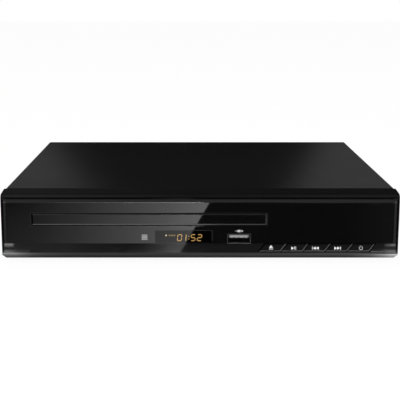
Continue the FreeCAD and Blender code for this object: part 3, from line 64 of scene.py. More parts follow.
class Finish:
    """A Principled material whose colour, roughness and relief vary over the surface."""

    def __init__(self, name, colour, **constants):
        self.material = bpy.data.materials.new(name)
        self.material.use_nodes = True
        self.nodes = self.material.node_tree.nodes
        self.links = self.material.node_tree.links
        self.shader = self.nodes["Principled BSDF"]
        self.place = self.nodes.new("ShaderNodeTexCoord").outputs["Object"]
        self.shader.inputs["Base Color"].default_value = (*colour, 1.0)
        for socket, value in constants.items():
            self.shader.inputs[socket.replace("_", " ")].default_value = value

    def scaled(self, stretch):
        """Object coordinates multiplied along X, Y and Z."""
        mapping = self.nodes.new("ShaderNodeMapping")
        mapping.inputs["Scale"].default_value = stretch
        self.links.new(self.place, mapping.inputs["Vector"])
        return mapping.outputs["Vector"]

    def noise(self, size, detail=2.0, stretch=(1.0, 1.0, 1.0)):
        """Soft noise with features about size across."""
        node = self.nodes.new("ShaderNodeTexNoise")
        node.inputs["Scale"].default_value = 1.0 / size
        node.inputs["Detail"].default_value = detail
        self.links.new(self.scaled(stretch), node.inputs["Vector"])
        return node.outputs["Fac"]

    def cells(self, size):
        """A random level for each crystal of about size."""
        node = self.nodes.new("ShaderNodeTexVoronoi")
        node.inputs["Scale"].default_value = 1.0 / size
        self.links.new(self.place, node.inputs["Vector"])
        level = self.nodes.new("ShaderNodeSeparateColor")
        self.links.new(node.outputs["Color"], level.inputs["Color"])
        return level.outputs["Red"]

    def bands(self, pitch, direction):
        """Smooth bands across X, Y or Z, one for each pitch."""
        node = self.nodes.new("ShaderNodeTexWave")
        node.bands_direction = direction
        node.inputs["Scale"].default_value = WAVE_PERIOD / pitch
        self.links.new(self.place, node.inputs["Vector"])
        return node.outputs["Fac"]

    def paths(self, width, row):
        """Fine lines laid like masonry joints, for the copper paths of a board."""
        node = self.nodes.new("ShaderNodeTexBrick")
        node.inputs["Scale"].default_value = 1.0 / row
        node.inputs["Mortar Size"].default_value = width / row
        node.inputs["Color1"].default_value = (0.0, 0.0, 0.0, 1.0)
        node.inputs["Color2"].default_value = (0.15, 0.15, 0.15, 1.0)
        node.inputs["Mortar"].default_value = (1.0, 1.0, 1.0, 1.0)
        self.links.new(self.place, node.inputs["Vector"])
        return node.outputs["Color"]

    def facing(self, direction, span):
        """0 to 1 as the surface turns to face along a direction, between two cosines."""
        turned = self.nodes.new("ShaderNodeVectorMath")
        turned.operation = "DOT_PRODUCT"
        turned.inputs[1].default_value = direction
        normal = self.nodes.new("ShaderNodeNewGeometry").outputs["True Normal"]
        self.links.new(normal, turned.inputs[0])
        return self.mapped(turned.outputs["Value"], 0.0, 1.0, span)

    def within(self, low, high):
        """1 between two heights and 0 outside them."""
        axes = self.nodes.new("ShaderNodeSeparateXYZ")
        self.links.new(self.place, axes.inputs["Vector"])
        node = self.nodes.new("ShaderNodeMath")
        node.operation = "COMPARE"
        self.links.new(axes.outputs["Z"], node.inputs[0])
        node.inputs[1].default_value = 0.5 * (low + high)
        node.inputs[2].default_value = 0.5 * (high - low)
        return node.outputs["Value"]

    def mapped(self, level, low, high, span=(0.25, 0.75)):
        """A level within a span, stretched to lie between low and high."""
        node = self.nodes.new("ShaderNodeMapRange")
        node.inputs["From Min"].default_value = span[0]
        node.inputs["From Max"].default_value = span[1]
        node.inputs["To Min"].default_value = low
        node.inputs["To Max"].default_value = high
        self.links.new(level, node.inputs["Value"])
        return node.outputs["Result"]

    def tint(self, level, other):
        """Blends the colour so far towards another one by a level."""
        base = self.shader.inputs["Base Color"]
        node = self.nodes.new("ShaderNodeMix")
        node.data_type = "RGBA"
        node.inputs[COLOUR_A].default_value = base.default_value
        node.inputs[COLOUR_B].default_value = (*other, 1.0)
        if base.is_linked:
            self.links.new(base.links[0].from_socket, node.inputs[COLOUR_A])
        self.links.new(self.mapped(level, 0.0, 1.0), node.inputs["Factor"])
        self.links.new(node.outputs[COLOUR_RESULT], base)
        return self

    def polish(self, level, low, high):
        """Roughness between two limits by a level."""
        self.links.new(self.mapped(level, low, high), self.shader.inputs["Roughness"])
        return self

    def relief(self, level, depth, edge=0.0, edge_heights=None):
        """A bump of that depth in metres, over edges softened by a radius, at all or some heights."""
        bump = self.nodes.new("ShaderNodeBump")
        bump.inputs["Distance"].default_value = depth
        self.links.new(level, bump.inputs["Height"])
        if edge:
            soft = self.nodes.new("ShaderNodeBevel")
            soft.samples = BEVEL_SAMPLES
            soft.inputs["Radius"].default_value = edge
            if edge_heights:
                radius = self.mapped(self.within(*edge_heights), 0.0, edge)
                self.links.new(radius, soft.inputs["Radius"])
            self.links.new(soft.outputs["Normal"], bump.inputs["Normal"])
        self.links.new(bump.outputs["Normal"], self.shader.inputs["Normal"])
        return self


def shade(colour, factor):
    """A colour made darker or lighter by a factor."""
    return tuple(channel * factor for channel in colour)


def polished(name, colour, roughness, edge, edge_heights=None, **constants):
    """Black acrylic or gloss moulding: nearly a mirror, with a faint moulding ripple."""
    finish = Finish(name, colour, IOR=ACRYLIC_IOR, **constants)
    finish.tint(finish.noise(30 * MM), shade(colour, 1.4))
    finish.polish(finish.noise(12 * MM), *roughness)
    return finish.relief(finish.noise(18 * MM, 0.0), 0.004 * MM, edge, edge_heights)


# Lower and right-hand edges of the buttons and of the door get a painted highlight: a lighter colour on the
# faces that turn that way.
LIT_SIDE = (0.7, 0.0, -0.7)
LIT_SPAN = (0.1, 0.25)


def edge_highlighted(finish, grey):
    """The finish with a painted highlight: a grey on the faces that turn to the lit side."""
    return finish.tint(finish.facing(LIT_SIDE, LIT_SPAN), (grey, grey, grey))


def painted(name, colour, roughness, grain, depth):
    """Stoved paint on steel sheet with its fine even texture."""
    finish = Finish(name, colour, IOR=PLASTIC_IOR)
    finish.tint(finish.noise(1.6 * grain, 3.0), shade(colour, 1.6))
    finish.polish(finish.noise(25 * MM), *roughness)
    return finish.relief(finish.noise(grain, 3.0), depth, 0.1 * MM)


def moulded(name, colour, roughness, grain=0.35 * MM, depth=0.012 * MM):
    """Injection moulding with a fine spark texture."""
    finish = Finish(name, colour, IOR=PLASTIC_IOR)
    finish.tint(finish.noise(9 * MM, 4.0), shade(colour, 0.82))
    finish.polish(finish.noise(3 * MM), *roughness)
    return finish.relief(finish.noise(grain, 2.0), depth, 0.15 * MM)


def rubbery(name, colour):
    """Matt rubber with a dusty, uneven surface."""
    finish = Finish(name, colour, IOR=PLASTIC_IOR)
    finish.tint(finish.noise(2 * MM, 4.0), shade(colour, 1.8))
    finish.polish(finish.noise(1.2 * MM), 0.7, 0.9)
    return finish.relief(finish.noise(0.5 * MM, 3.0), 0.03 * MM, 0.3 * MM)


def brushed(name, colour, roughness, stretch):
    """Bare metal with drawn or rolled lines along one direction."""
    finish = Finish(name, colour, Metallic=1.0)
    lines = finish.noise(1.0 * MM, 4.0, stretch)
    finish.tint(finish.noise(7 * MM, 3.0), shade(colour, 0.8))
    finish.polish(lines, *roughness)
    return finish.relief(lines, 0.004 * MM, 0.15 * MM)


def galvanised(name, colour):
    """Zinc-coated sheet with its spangle."""
    finish = Finish(name, colour, Metallic=1.0)
    spangle = finish.cells(5 * MM)
    finish.tint(spangle, shade(colour, 0.72))
    finish.polish(spangle, 0.32, 0.5)
    return finish.relief(finish.noise(4 * MM, 3.0), 0.01 * MM, 0.2 * MM)


def circuit_board(name, colour):
    """Solder mask over copper paths."""
    finish = Finish(name, colour, IOR=PLASTIC_IOR)
    paths = finish.paths(0.35 * MM, 3.2 * MM)
    finish.tint(paths, shade(colour, 1.9))
    finish.polish(finish.noise(4 * MM), 0.28, 0.42)
    return finish.relief(paths, 0.02 * MM)


def banded(name, colour, other, pitch, direction, roughness):
    """Layers or conductors: bands of two colours with a low relief."""
    finish = Finish(name, colour, IOR=PLASTIC_IOR)
    bands = finish.bands(pitch, direction)
    finish.tint(bands, other)
    finish.polish(finish.noise(5 * MM), *roughness)
    return finish.relief(bands, 0.03 * MM, 0.1 * MM)


SMOKED_GLOSS = 0.27
SMOKED_BLACK = (0.0003, 0.0003, 0.0003)
LENS_BLACK = (0.0018, 0.0018, 0.0019)
BEZEL_BLACK = (0.0024, 0.0024, 0.0025)
lens_low, lens_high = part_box("fascia_lens")
# Only the edges of the lens between these heights are softened.
LENS_EDGE_HEIGHTS = (lens_low.z + 1.5 * MM, lens_high.z - 0.9 * MM)
FINISHES = {
    "bezel_plastic": polished("gloss_moulding", BEZEL_BLACK, (0.03, 0.045), 0.0),
    "lens_acrylic": polished("black_acrylic", LENS_BLACK, (0.025, 0.05), 0.3 * MM, LENS_EDGE_HEIGHTS),
    "window_acrylic": polished(
        "smoked_acrylic", SMOKED_BLACK, (0.03, 0.05), 0.1 * MM, Specular_IOR_Level=SMOKED_GLOSS
    ),
    # The buttons' lower and right-hand edges carry a painted highlight.
    "button_plastic": edge_highlighted(polished("button_moulding", BEZEL_BLACK, (0.03, 0.045), 0.1 * MM), 0.28),
    "cover_paint": painted("cover_paint", (0.005, 0.005, 0.0051), (0.16, 0.2), 0.55 * MM, 0.004 * MM),
    "rear_paint": painted("rear_paint", (0.012, 0.012, 0.0125), (0.42, 0.52), 0.5 * MM, 0.012 * MM),
    "chassis_steel": galvanised("galvanised_steel", (0.56, 0.57, 0.58)),
    "foot_rubber": rubbery("foot_rubber", (0.012, 0.012, 0.012)),
    "belt_rubber": rubbery("belt_rubber", (0.009, 0.009, 0.009)),
    "board_green": circuit_board("solder_mask", (0.012, 0.11, 0.045)),
    "component_black": moulded("component_black", (0.014, 0.014, 0.015), (0.4, 0.55)),
    "tray_plastic": moulded("tray_moulding", (0.013, 0.013, 0.014), (0.34, 0.46)),
    "frame_plastic": moulded("frame_moulding", (0.02, 0.02, 0.021), (0.42, 0.55)),
    "gear_plastic": moulded("acetal", (0.74, 0.73, 0.69), (0.3, 0.42)),
    "motor_steel": brushed("motor_can", (0.6, 0.6, 0.61), (0.22, 0.36), (1.0, 1.0, 0.06)),
    "rod_steel": brushed("ground_rod", (0.72, 0.72, 0.73), (0.08, 0.18), (1.0, 0.05, 1.0)),
    "bridge_steel": brushed("bridge_sheet", (0.5, 0.5, 0.52), (0.3, 0.45), (0.06, 1.0, 1.0)),
    "pickup_metal": brushed("pickup_casting", (0.42, 0.42, 0.44), (0.38, 0.55), (1.0, 1.0, 1.0)),
    "lens_cap": moulded("lens_cap", (0.02, 0.02, 0.022), (0.25, 0.4)),
    "socket_metal": brushed("nickel_plate", (0.55, 0.55, 0.56), (0.2, 0.32), (0.08, 1.0, 1.0)),
    "tongue_plastic": moulded("tongue_moulding", (0.42, 0.42, 0.42), (0.4, 0.5)),
    "jack_plastic": moulded("socket_moulding", (0.013, 0.013, 0.014), (0.38, 0.5)),
    "yellow_plastic": moulded("yellow_moulding", (0.78, 0.52, 0.02), (0.32, 0.45)),
    "white_plastic": moulded("white_moulding", (0.78, 0.78, 0.76), (0.32, 0.45)),
    "red_plastic": moulded("red_moulding", (0.55, 0.02, 0.02), (0.32, 0.45)),
    "orange_plastic": moulded("orange_moulding", (0.78, 0.19, 0.015), (0.32, 0.45)),
    "copper_winding": banded(
        "winding_tape", (0.62, 0.42, 0.06), (0.42, 0.26, 0.03), 1.1 * MM, "Z", (0.25, 0.4)
    ),
    "sink_aluminium": brushed("extrusion", (0.7, 0.7, 0.71), (0.28, 0.42), (1.0, 1.0, 0.05)),
    "can_sleeve": banded(
        "can_sleeve", (0.01, 0.012, 0.02), (0.02, 0.024, 0.04), 2.2 * MM, "Z", (0.25, 0.4)
    ),
    "ribbon_film": banded(
        "ribbon_film", (0.6, 0.6, 0.58), (0.42, 0.42, 0.41), 1.0 * MM, "X", (0.3, 0.45)
    ),
}


def glowing(name, colour):
    """Lit segments behind the same polished surface as the window round them."""
    finish = Finish(name, shade(colour, 0.02), IOR=ACRYLIC_IOR, Specular_IOR_Level=SMOKED_GLOSS)
    finish.tint(finish.noise(6 * MM), shade(colour, 0.03))
    finish.polish(finish.noise(12 * MM), 0.03, 0.05)
    finish.shader.inputs["Emission Color"].default_value = (*colour, 1.0)
    finish.shader.inputs["Emission Strength"].default_value = 1.0
    return finish


def inked(name, colour):
    """A thin even film of ink."""
    return moulded(name, colour, (0.35, 0.5), 0.2 * MM, 0.004 * MM)


INK = inked("white_ink", (0.95, 0.95, 0.94))
GREY_INK = inked("grey_ink", (0.5, 0.5, 0.5))
# A grey for the plate that stands for a painted highlight along the band's lower edge.
EDGE_HIGHLIGHT_GREY = inked("painted_edge_highlight", (0.12, 0.12, 0.12))
AMBER = glowing("amber_segments", (0.56, 0.33, 0.11))
DIM_AMBER = glowing("dim_segments", (0.2, 0.14, 0.05))
PALE_AMBER = glowing("pale_segment", (0.8, 0.7, 0.48))
FRONT = (0.0, -1.0, 0.0)
UP = (0.0, 0.0, 1.0)
# Half height of the painted highlight band along the shell's bottom.
SHELL_RIM = 0.3 * MM
shell_low, shell_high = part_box("usb_shell")


def nickel_with_painted_light():
    """The socket's shell: painted dark for the shade inside, with a painted highlight on its front edge and
    a brighter painted highlight along the bottom.
    """
    finish = brushed("nickel_with_painted_light", (0.02, 0.02, 0.02), (0.45, 0.55), (0.08, 1.0, 1.0))
    finish.tint(finish.facing(FRONT, (0.5, 0.9)), (0.06, 0.06, 0.06))
    bottom = finish.within(shell_low.z - SHELL_RIM, shell_low.z + SHELL_RIM)
    return finish.tint(bottom, (0.14, 0.14, 0.14))


def door_acrylic():
    """The lens's acrylic with painted highlights on its lower and right-hand edges and a fainter painted
    highlight on its upper one.
    """
    finish = edge_highlighted(polished("door_acrylic", LENS_BLACK, (0.025, 0.05), 0.15 * MM), 0.042)
    return finish.tint(finish.facing(UP, (0.2, 0.3)), (0.01, 0.01, 0.01))


NODE_FINISHES = {"usb_shell": nickel_with_painted_light(), "tray_door": door_acrylic()}

for row in frame["record"]["subparts"]:
    mesh = frame["nodes"][row["node"]].data
    mesh.materials.clear()
    finish = NODE_FINISHES.get(row["node"], FINISHES[row["material_slot"]])
    mesh.materials.append(finish.material)


# Pieces: printed marks, lit segments, contact springs and screws, which all lie on a CAD node.

def add_piece(name, mesh_builder, material, body):
    """Makes an object of the built mesh, riding on a body."""
    mesh = bpy.data.meshes.new(name)
    bmesh.ops.recalc_face_normals(mesh_builder, faces=mesh_builder.faces)
    mesh_builder.to_mesh(mesh)
    mesh_builder.free()
    mesh.materials.append(material)
    piece = bpy.data.objects.new(name, mesh)
    scene.collection.objects.link(piece)
    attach(piece, body)


MARK_THICKNESS = 0.05 * MM
# Depth, far in front, from which rays look for a surface.
LOOK_FROM = -1.0


def front_of(node):
    """Finds the depth of a node's front surface at a place (x, z)."""
    source = frame["nodes"][node].data
    tree = BVHTree.FromPolygons(
        [vertex.co for vertex in source.vertices],
        [face.vertices for face in source.polygons],
    )

    def depth(x, z):
        hit = tree.ray_cast(Vector((x, LOOK_FROM, z)), Vector((0.0, 1.0, 0.0)))[0]
        return hit.y

    return depth


def add_mark(name, shapes, centre, carrier, material, body):
    """Closed thin plates on a carrier: shapes are outlines in mm round a centre (x, z) in metres."""
    depth = front_of(carrier)
    builder = bmesh.new()
    for shape in shapes:
        places = [(centre[0] + x * MM, centre[1] + z * MM) for x, z in shape]
        back = [builder.verts.new((x, depth(x, z), z)) for x, z in places]
        front = [builder.verts.new((x, depth(x, z) - MARK_THICKNESS, z)) for x, z in places]
        builder.faces.new(back)
        builder.faces.new(front)
        for index, corner in enumerate(back):
            following = (index + 1) % len(back)
            builder.faces.new((corner, back[following], front[following], front[index]))
    add_piece(name, builder, material, body)


def rectangle(left, bottom, right, top):
    """An upright rectangle from its sides."""
    return [(left, bottom), (right, bottom), (right, top), (left, top)]


def arc_band(inner, outer, start, end, steps=14):
    """Part of a ring between two angles in degrees, anticlockwise from +X."""
    angles = [math.radians(start + (end - start) * n / steps) for n in range(steps + 1)]
    outside = [(outer * math.cos(a), outer * math.sin(a)) for a in angles]
    inside = [(inner * math.cos(a), inner * math.sin(a)) for a in reversed(angles)]
    return outside + inside


def ring(inner, outer):
    """A whole ring in two halves."""
    return [arc_band(inner, outer, 0, 180), arc_band(inner, outer, 180, 360)]


def disc(radius, steps=20):
    """A round dot."""
    turns = [2 * math.pi * n / steps for n in range(steps)]
    return [(radius * math.cos(a), radius * math.sin(a)) for a in turns]


def arrow(left, right, half):
    """A triangle pointing from left to right; left may be the greater."""
    return [(left, -half), (right, 0.0), (left, half)]


SYMBOL_HALF = 0.95
SYMBOL_HEIGHT = 9.05 * MM


def pillar(left, right):
    """A bar of the symbols' full height."""
    return rectangle(left, -SYMBOL_HALF, right, SYMBOL_HALF)


# Each symbol's shift from the middle of its button, and its outlines, in mm.
SYMBOLS = {
    "eject": ((-0.94, 0.0), [
        [(-1.2, -0.1), (1.2, -0.1), (0.0, 1.4)],
        rectangle(-1.15, -SYMBOL_HALF, 1.15, -0.6),
    ]),
    "play": ((-0.63, -0.29), [
        arrow(-1.4, 0.1, SYMBOL_HALF),
        pillar(0.36, 0.64),
        pillar(1.02, 1.3),
    ]),
    "previous": ((-0.89, -0.29), [
        pillar(-1.85, -1.58),
        arrow(0.25, -1.4, SYMBOL_HALF),
        arrow(1.95, 0.25, SYMBOL_HALF),
    ]),
    "next": ((-0.91, -0.29), [
        arrow(-1.85, -0.25, SYMBOL_HALF),
        arrow(-0.25, 1.45, SYMBOL_HALF),
        pillar(1.55, 1.95),
    ]),
    "power": ((-0.23, -0.2), [
        arc_band(0.8, 1.16, 122, 418, 24),
        rectangle(-0.17, 0.3, 0.17, 1.4),
    ]),
}

for label, (shift, shapes) in SYMBOLS.items():
    button = f"{label}_button"
    low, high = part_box(button)
    centre = (0.5 * (low.x + high.x) + shift[0] * MM, SYMBOL_HEIGHT + shift[1] * MM)
    ink = GREY_INK if label == "power" else INK
    add_mark(f"{label}_mark", shapes, centre, button, ink.material, f"{button}_body")

# Lit segments of the display, in mm. A digit's strokes are named a to g as usual, with m in the middle.
DIGIT_WIDTH = 2.7
DIGIT_HEIGHT = 3.95
STROKE = 0.43
STROKE_GAP = 0.1
DIGIT_LEAN = 0.1
DIGIT_STROKES = {"0": "abcdef", "1": "m", "5": "acdfg", "2": "abdeg"}


def bar(start, end):
    """A stroke with pointed ends between two points on a line."""
    half = 0.5 * STROKE
    (x0, z0), (x1, z1) = start, end
    length = math.hypot(x1 - x0, z1 - z0)
    along = ((x1 - x0) / length, (z1 - z0) / length)
    across = (-along[1] * half, along[0] * half)
    tip = STROKE_GAP
    shoulder = STROKE_GAP + half
    outline = [(tip, 0), (shoulder, -1), (length - shoulder, -1)]
    outline += [(length - tip, 0), (length - shoulder, 1), (shoulder, 1)]
    return [(x0 + along[0] * s + across[0] * t, z0 + along[1] * s + across[1] * t) for s, t in outline]


def digit(strokes, left):
    """Outlines of a digit whose cell starts at left, in mm, leaning to the right."""
    x0 = 0.5 * STROKE
    x1 = DIGIT_WIDTH - x0
    z0 = x0
    z1 = 0.5 * DIGIT_HEIGHT
    z2 = DIGIT_HEIGHT - x0
    middle = 0.5 * DIGIT_WIDTH
    lines = {
        "a": ((x0, z2), (x1, z2)),
        "b": ((x1, z1), (x1, z2)),
        "c": ((x1, z0), (x1, z1)),
        "d": ((x0, z0), (x1, z0)),
        "e": ((x0, z0), (x0, z1)),
        "f": ((x0, z1), (x0, z2)),
        "g": ((x0, z1), (x1, z1)),
        "m": ((middle, 0.0), (middle, DIGIT_HEIGHT)),
    }
    shapes = [bar(*lines[stroke]) for stroke in strokes]
    return [[(left + x + DIGIT_LEAN * z, z) for x, z in shape] for shape in shapes]


window_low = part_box("display_window")[0]
DIGITS_PLACE = (window_low.x + 12.2 * MM, window_low.z + 1.1 * MM)
DIGIT_CELLS = (("0", 0.0), ("1", 3.65), ("5", 7.7), ("2", 11.35))
COLON_PLACE = 6.85
COLON_HEIGHTS = (1.2, 2.75)
COLON_RADIUS = 0.26
digits = [shape for value, left in DIGIT_CELLS for shape in digit(DIGIT_STROKES[value], left)]
digits += [[(COLON_PLACE + x, z + height) for x, z in disc(COLON_RADIUS)] for height in COLON_HEIGHTS]
STATUS_PLACE = (window_low.x + 5.8 * MM, window_low.z + 4.4 * MM)
STATUS_BARS = 3
STATUS_START = 1.8
STATUS_PITCH = 1.35
STATUS_WIDTH = 0.95
STATUS_HALF = 0.45
status_starts = [STATUS_START + STATUS_PITCH * n for n in range(STATUS_BARS)]
status = [rectangle(left, -STATUS_HALF, left + STATUS_WIDTH, STATUS_HALF) for left in status_starts]
RUNNING_LENGTH = 0.9
RUNNING_HALF = 0.55
running = [arrow(0.0, RUNNING_LENGTH, RUNNING_HALF)]
for name, shapes, place, glow in (
    ("display_digits", digits, DIGITS_PLACE, AMBER),
    ("display_status", status, STATUS_PLACE, DIM_AMBER),
    ("display_running", running, STATUS_PLACE, PALE_AMBER),
):
    add_mark(name, shapes, place, "display_window", glow.material, "case")

# Printed marks on the lens: a plain disc in a frame beside the window and a plain plug above the socket.
DISC_PLACE = (window_low.x - 6.2 * MM, window_low.z + 3.35 * MM)
FRAME_OUT = 1.5
FRAME_IN = 1.15
RING_OUT = 0.85
RING_IN = 0.3
disc_frame = [
    rectangle(-FRAME_OUT, FRAME_IN, FRAME_OUT, FRAME_OUT),
    rectangle(-FRAME_OUT, -FRAME_OUT, FRAME_OUT, -FRAME_IN),
    rectangle(-FRAME_OUT, -FRAME_IN, -FRAME_IN, FRAME_IN),
    rectangle(FRAME_IN, -FRAME_IN, FRAME_OUT, FRAME_IN),
]
PLUG_PLACE = (0.5 * (shell_low.x + shell_high.x), shell_high.z + 1.75 * MM)
plug = [
    rectangle(-0.9, -0.7, 0.9, 0.7),
    rectangle(1.2, -0.45, 2.2, 0.45),
    rectangle(-2.2, -0.15, -0.9, 0.15),
]
for name, shapes, place in (
    ("disc_mark", disc_frame + ring(RING_IN, RING_OUT), DISC_PLACE),
    ("plug_mark", plug, PLUG_PLACE),
):
    add_mark(name, shapes, place, "fascia_lens", GREY_INK.material, "case")

# A painted highlight, as a grey plate: the light line along the buttons' lower edges goes on to the right
# of the last one.
power_low, power_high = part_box("power_button")
LINE_PLACE = (power_high.x, power_low.z)
band_line = [rectangle(-2.4, 0.75, 4.6, 1.05)]
add_mark("band_line", band_line, LINE_PLACE, "front_bezel", EDGE_HIGHLIGHT_GREY.material, "case")

# Contact springs under the socket's tongue.
tongue_low, tongue_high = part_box("usb_tongue")
CONTACTS = 4
CONTACT_HALF = 0.85 * MM
CONTACT_DROP = 0.35 * MM
CONTACT_LENGTH = 3.0 * MM
CONTACT_STEPS = 8
contact_pitch = (tongue_high.x - tongue_low.x) / CONTACTS
builder = bmesh.new()
for n in range(CONTACTS):
    middle = tongue_low.x + (n + 0.5) * contact_pitch
    turns = [math.pi * (1.0 + step / CONTACT_STEPS) for step in range(CONTACT_STEPS + 1)]
    section = [
        (middle + CONTACT_HALF * math.cos(turn), tongue_low.z + CONTACT_DROP * math.sin(turn))
        for turn in turns
    ]
    ends = []
    for y in (tongue_low.y, tongue_low.y + CONTACT_LENGTH):
        ends.append([builder.verts.new((x, y, z)) for x, z in section])
        builder.faces.new(ends[-1])
    for index in range(len(section)):
        following = (index + 1) % len(section)
        builder.faces.new((ends[0][index], ends[0][following], ends[1][following], ends[1][index]))
add_piece("usb_contacts", builder, FINISHES["tongue_plastic"].material, "case")

# Cross-head pan screws that hold the cover: two on each side and three along the rear.
HEAD_RADIUS = 2.9 * MM
HEAD_HEIGHT = 0.5 * MM
HEAD_STEPS = 28
HEAD_PROFILE = ((1.0, 0.0), (1.0, 0.35), (0.93, 0.62), (0.72, 0.85), (0.4, 0.97))
CROSS_HALF = 1.55 * MM
CROSS_WIDTH = 0.42 * MM
CROSS_DEPTH = 0.4 * MM
CROSS_TAPER = 0.6
SCREW_TURN = 0.7


def lathe(profile, radius, height, steps):
    """A closed turned form along +Z, from (share of radius, share of height) pairs."""
    turned = bmesh.new()
    rings = []
    for share, rise in profile:
        turns = [2 * math.pi * n / steps for n in range(steps)]
        rings.append([
            turned.verts.new((radius * share * math.cos(a), radius * share * math.sin(a), height * rise))
            for a in turns
        ])
    for lower, upper in zip(rings, rings[1:]):
        for n in range(steps):
            following = (n + 1) % steps
            turned.faces.new((lower[n], lower[following], upper[following], upper[n]))
    turned.faces.new(rings[0])
    crown = turned.verts.new((0.0, 0.0, height))
    for n in range(steps):
        turned.faces.new((rings[-1][n], rings[-1][(n + 1) % steps], crown))
    bmesh.ops.recalc_face_normals(turned, faces=turned.faces)
    return turned


def temporary(name, builder):
    """An object that only stands in for a boolean."""
    mesh = bpy.data.meshes.new(name)
    builder.to_mesh(mesh)
    builder.free()
    thing = bpy.data.objects.new(name, mesh)
    scene.collection.objects.link(thing)
    return thing


def screw_head():
    """The mesh of one head with its cross cut in."""
    cross = bmesh.new()
    half, width = CROSS_HALF, CROSS_WIDTH
    plan = [
        (half, -width), (half, width), (width, width), (width, half), (-width, half), (-width, width),
        (-half, width), (-half, -width), (-width, -width), (-width, -half), (width, -half), (width, -width),
    ]
    tapered = [(CROSS_TAPER * x, CROSS_TAPER * y) for x, y in plan]
    floor_ring = [cross.verts.new((x, y, HEAD_HEIGHT - CROSS_DEPTH)) for x, y in tapered]
    top_ring = [cross.verts.new((x, y, HEAD_HEIGHT + CROSS_DEPTH)) for x, y in plan]
    cross.faces.new(floor_ring)
    cross.faces.new(top_ring)
    for n in range(len(plan)):
        following = (n + 1) % len(plan)
        cross.faces.new((floor_ring[n], floor_ring[following], top_ring[following], top_ring[n]))
    bmesh.ops.recalc_face_normals(cross, faces=cross.faces)
    head = temporary("head_form", lathe(HEAD_PROFILE, HEAD_RADIUS, HEAD_HEIGHT, HEAD_STEPS))
    cutter = temporary("cross_form", cross)
    cut = head.modifiers.new("cross", "BOOLEAN")
    cut.object = cutter
    cut.operation = "DIFFERENCE"
    depsgraph = bpy.context.evaluated_depsgraph_get()
    result = bpy.data.meshes.new_from_object(head.evaluated_get(depsgraph))
    for thing in (head, cutter):
        bpy.data.objects.remove(thing)
    return result


cover_low, cover_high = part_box("top_cover")
bezel_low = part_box("front_bezel")[0]
SIDE_SCREW_Y = (bezel_low.y + 60 * MM, bezel_low.y + 164 * MM)
SIDE_SCREW_Z = 14.5 * MM
REAR_SCREW_INSET = 30 * MM
REAR_SCREW_DROP = 5.1 * MM
screw_places = []
for side in (-1, 1):
    facing = Matrix.Rotation(math.radians(90 * side), 4, "Y")
    for y in SIDE_SCREW_Y:
        screw_places.append(Matrix.Translation((side * cover_high.x, y, SIDE_SCREW_Z)) @ facing)
facing = Matrix.Rotation(math.radians(-90), 4, "X")
for x in (cover_low.x + REAR_SCREW_INSET, 0.0, cover_high.x - REAR_SCREW_INSET):
    place = (x, cover_high.y, cover_high.z - REAR_SCREW_DROP)
    screw_places.append(Matrix.Translation(place) @ facing)
head_mesh = screw_head()
builder = bmesh.new()
for turn, place in enumerate(screw_places):
    placed = head_mesh.copy()
    placed.transform(place @ Matrix.Rotation(SCREW_TURN * turn, 4, "Z"))
    builder.from_mesh(placed)
    bpy.data.meshes.remove(placed)
screw_finish = moulded("blacked_screw", (0.016, 0.016, 0.017), (0.28, 0.42), 0.25 * MM, 0.006 * MM)
add_piece("cover_screws", builder, screw_finish.material, "case")


# Camera, from the photograph's frame of 400 by 400 pixels.

FRAME_PIXELS = 400
FOCAL_PIXELS = 1000.26
SENSOR = 36.0
CAMERA_PLACE = Vector((-6.86, -657.64, 149.05)) * MM
CAMERA_PITCH = math.radians(11.447)
CAMERA_SHIFT = 0.03

camera = bpy.data.objects.new("camera", bpy.data.cameras.new("camera"))
camera.data.sensor_width = SENSOR
camera.data.lens = SENSOR * FOCAL_PIXELS / FRAME_PIXELS
camera.data.shift_x = CAMERA_SHIFT
camera.data.clip_start = 10 * MM
camera.location = CAMERA_PLACE
camera.rotation_euler = (0.5 * math.pi - CAMERA_PITCH, 0.0, 0.0)
scene.collection.objects.link(camera)
scene.camera = camera


def pixel_ray(pixel):
    """The direction from the camera through a pixel of the photograph."""
    right = (pixel[0] / FRAME_PIXELS - 0.5 + CAMERA_SHIFT) * FRAME_PIXELS / FOCAL_PIXELS
    up = (0.5 - pixel[1] / FRAME_PIXELS) * FRAME_PIXELS / FOCAL_PIXELS
    turn = Matrix.Rotation(-CAMERA_PITCH, 3, "X")
    return (turn @ Vector((right, 1.0, up))).normalized()


# Stage: white floor, even world, soft lamps, and cards that only gloss can see.

def light_path_level(tree):
    """1 for camera, glossy and transmission rays, and 0 for the rest."""
    path = tree.nodes.new("ShaderNodeLightPath")
    level = path.outputs["Is Camera Ray"]
    for output in ("Is Glossy Ray", "Is Transmission Ray"):
        larger = tree.nodes.new("ShaderNodeMath")
        larger.operation = "MAXIMUM"
        tree.links.new(level, larger.inputs[0])
        tree.links.new(path.outputs[output], larger.inputs[1])
        level = larger.outputs["Value"]
    return level


# The world lights evenly, and is white to the camera and in reflections.
WORLD_LIGHT = 0.6
world = bpy.data.worlds.new("studio")
world.use_nodes = True
scene.world = world
tree = world.node_tree
background = tree.nodes["Background"]
background.inputs["Color"].default_value = (1.0, 1.0, 1.0, 1.0)
strength = tree.nodes.new("ShaderNodeMapRange")
strength.inputs["To Min"].default_value = WORLD_LIGHT
strength.inputs["To Max"].default_value = 1.0
tree.links.new(light_path_level(tree), strength.inputs["Value"])
tree.links.new(strength.outputs["Result"], background.inputs["Strength"])


def bare_material(name):
    """A material with nothing but its output: the material, its tree and the surface socket."""
    material = bpy.data.materials.new(name)
    material.use_nodes = True
    tree = material.node_tree
    tree.nodes.clear()
    return material, tree, tree.nodes.new("ShaderNodeOutputMaterial").inputs["Surface"]


FLOOR_COLOUR = (0.92, 0.92, 0.92, 1.0)
FLOOR_WHITE_SHARE = 0.95


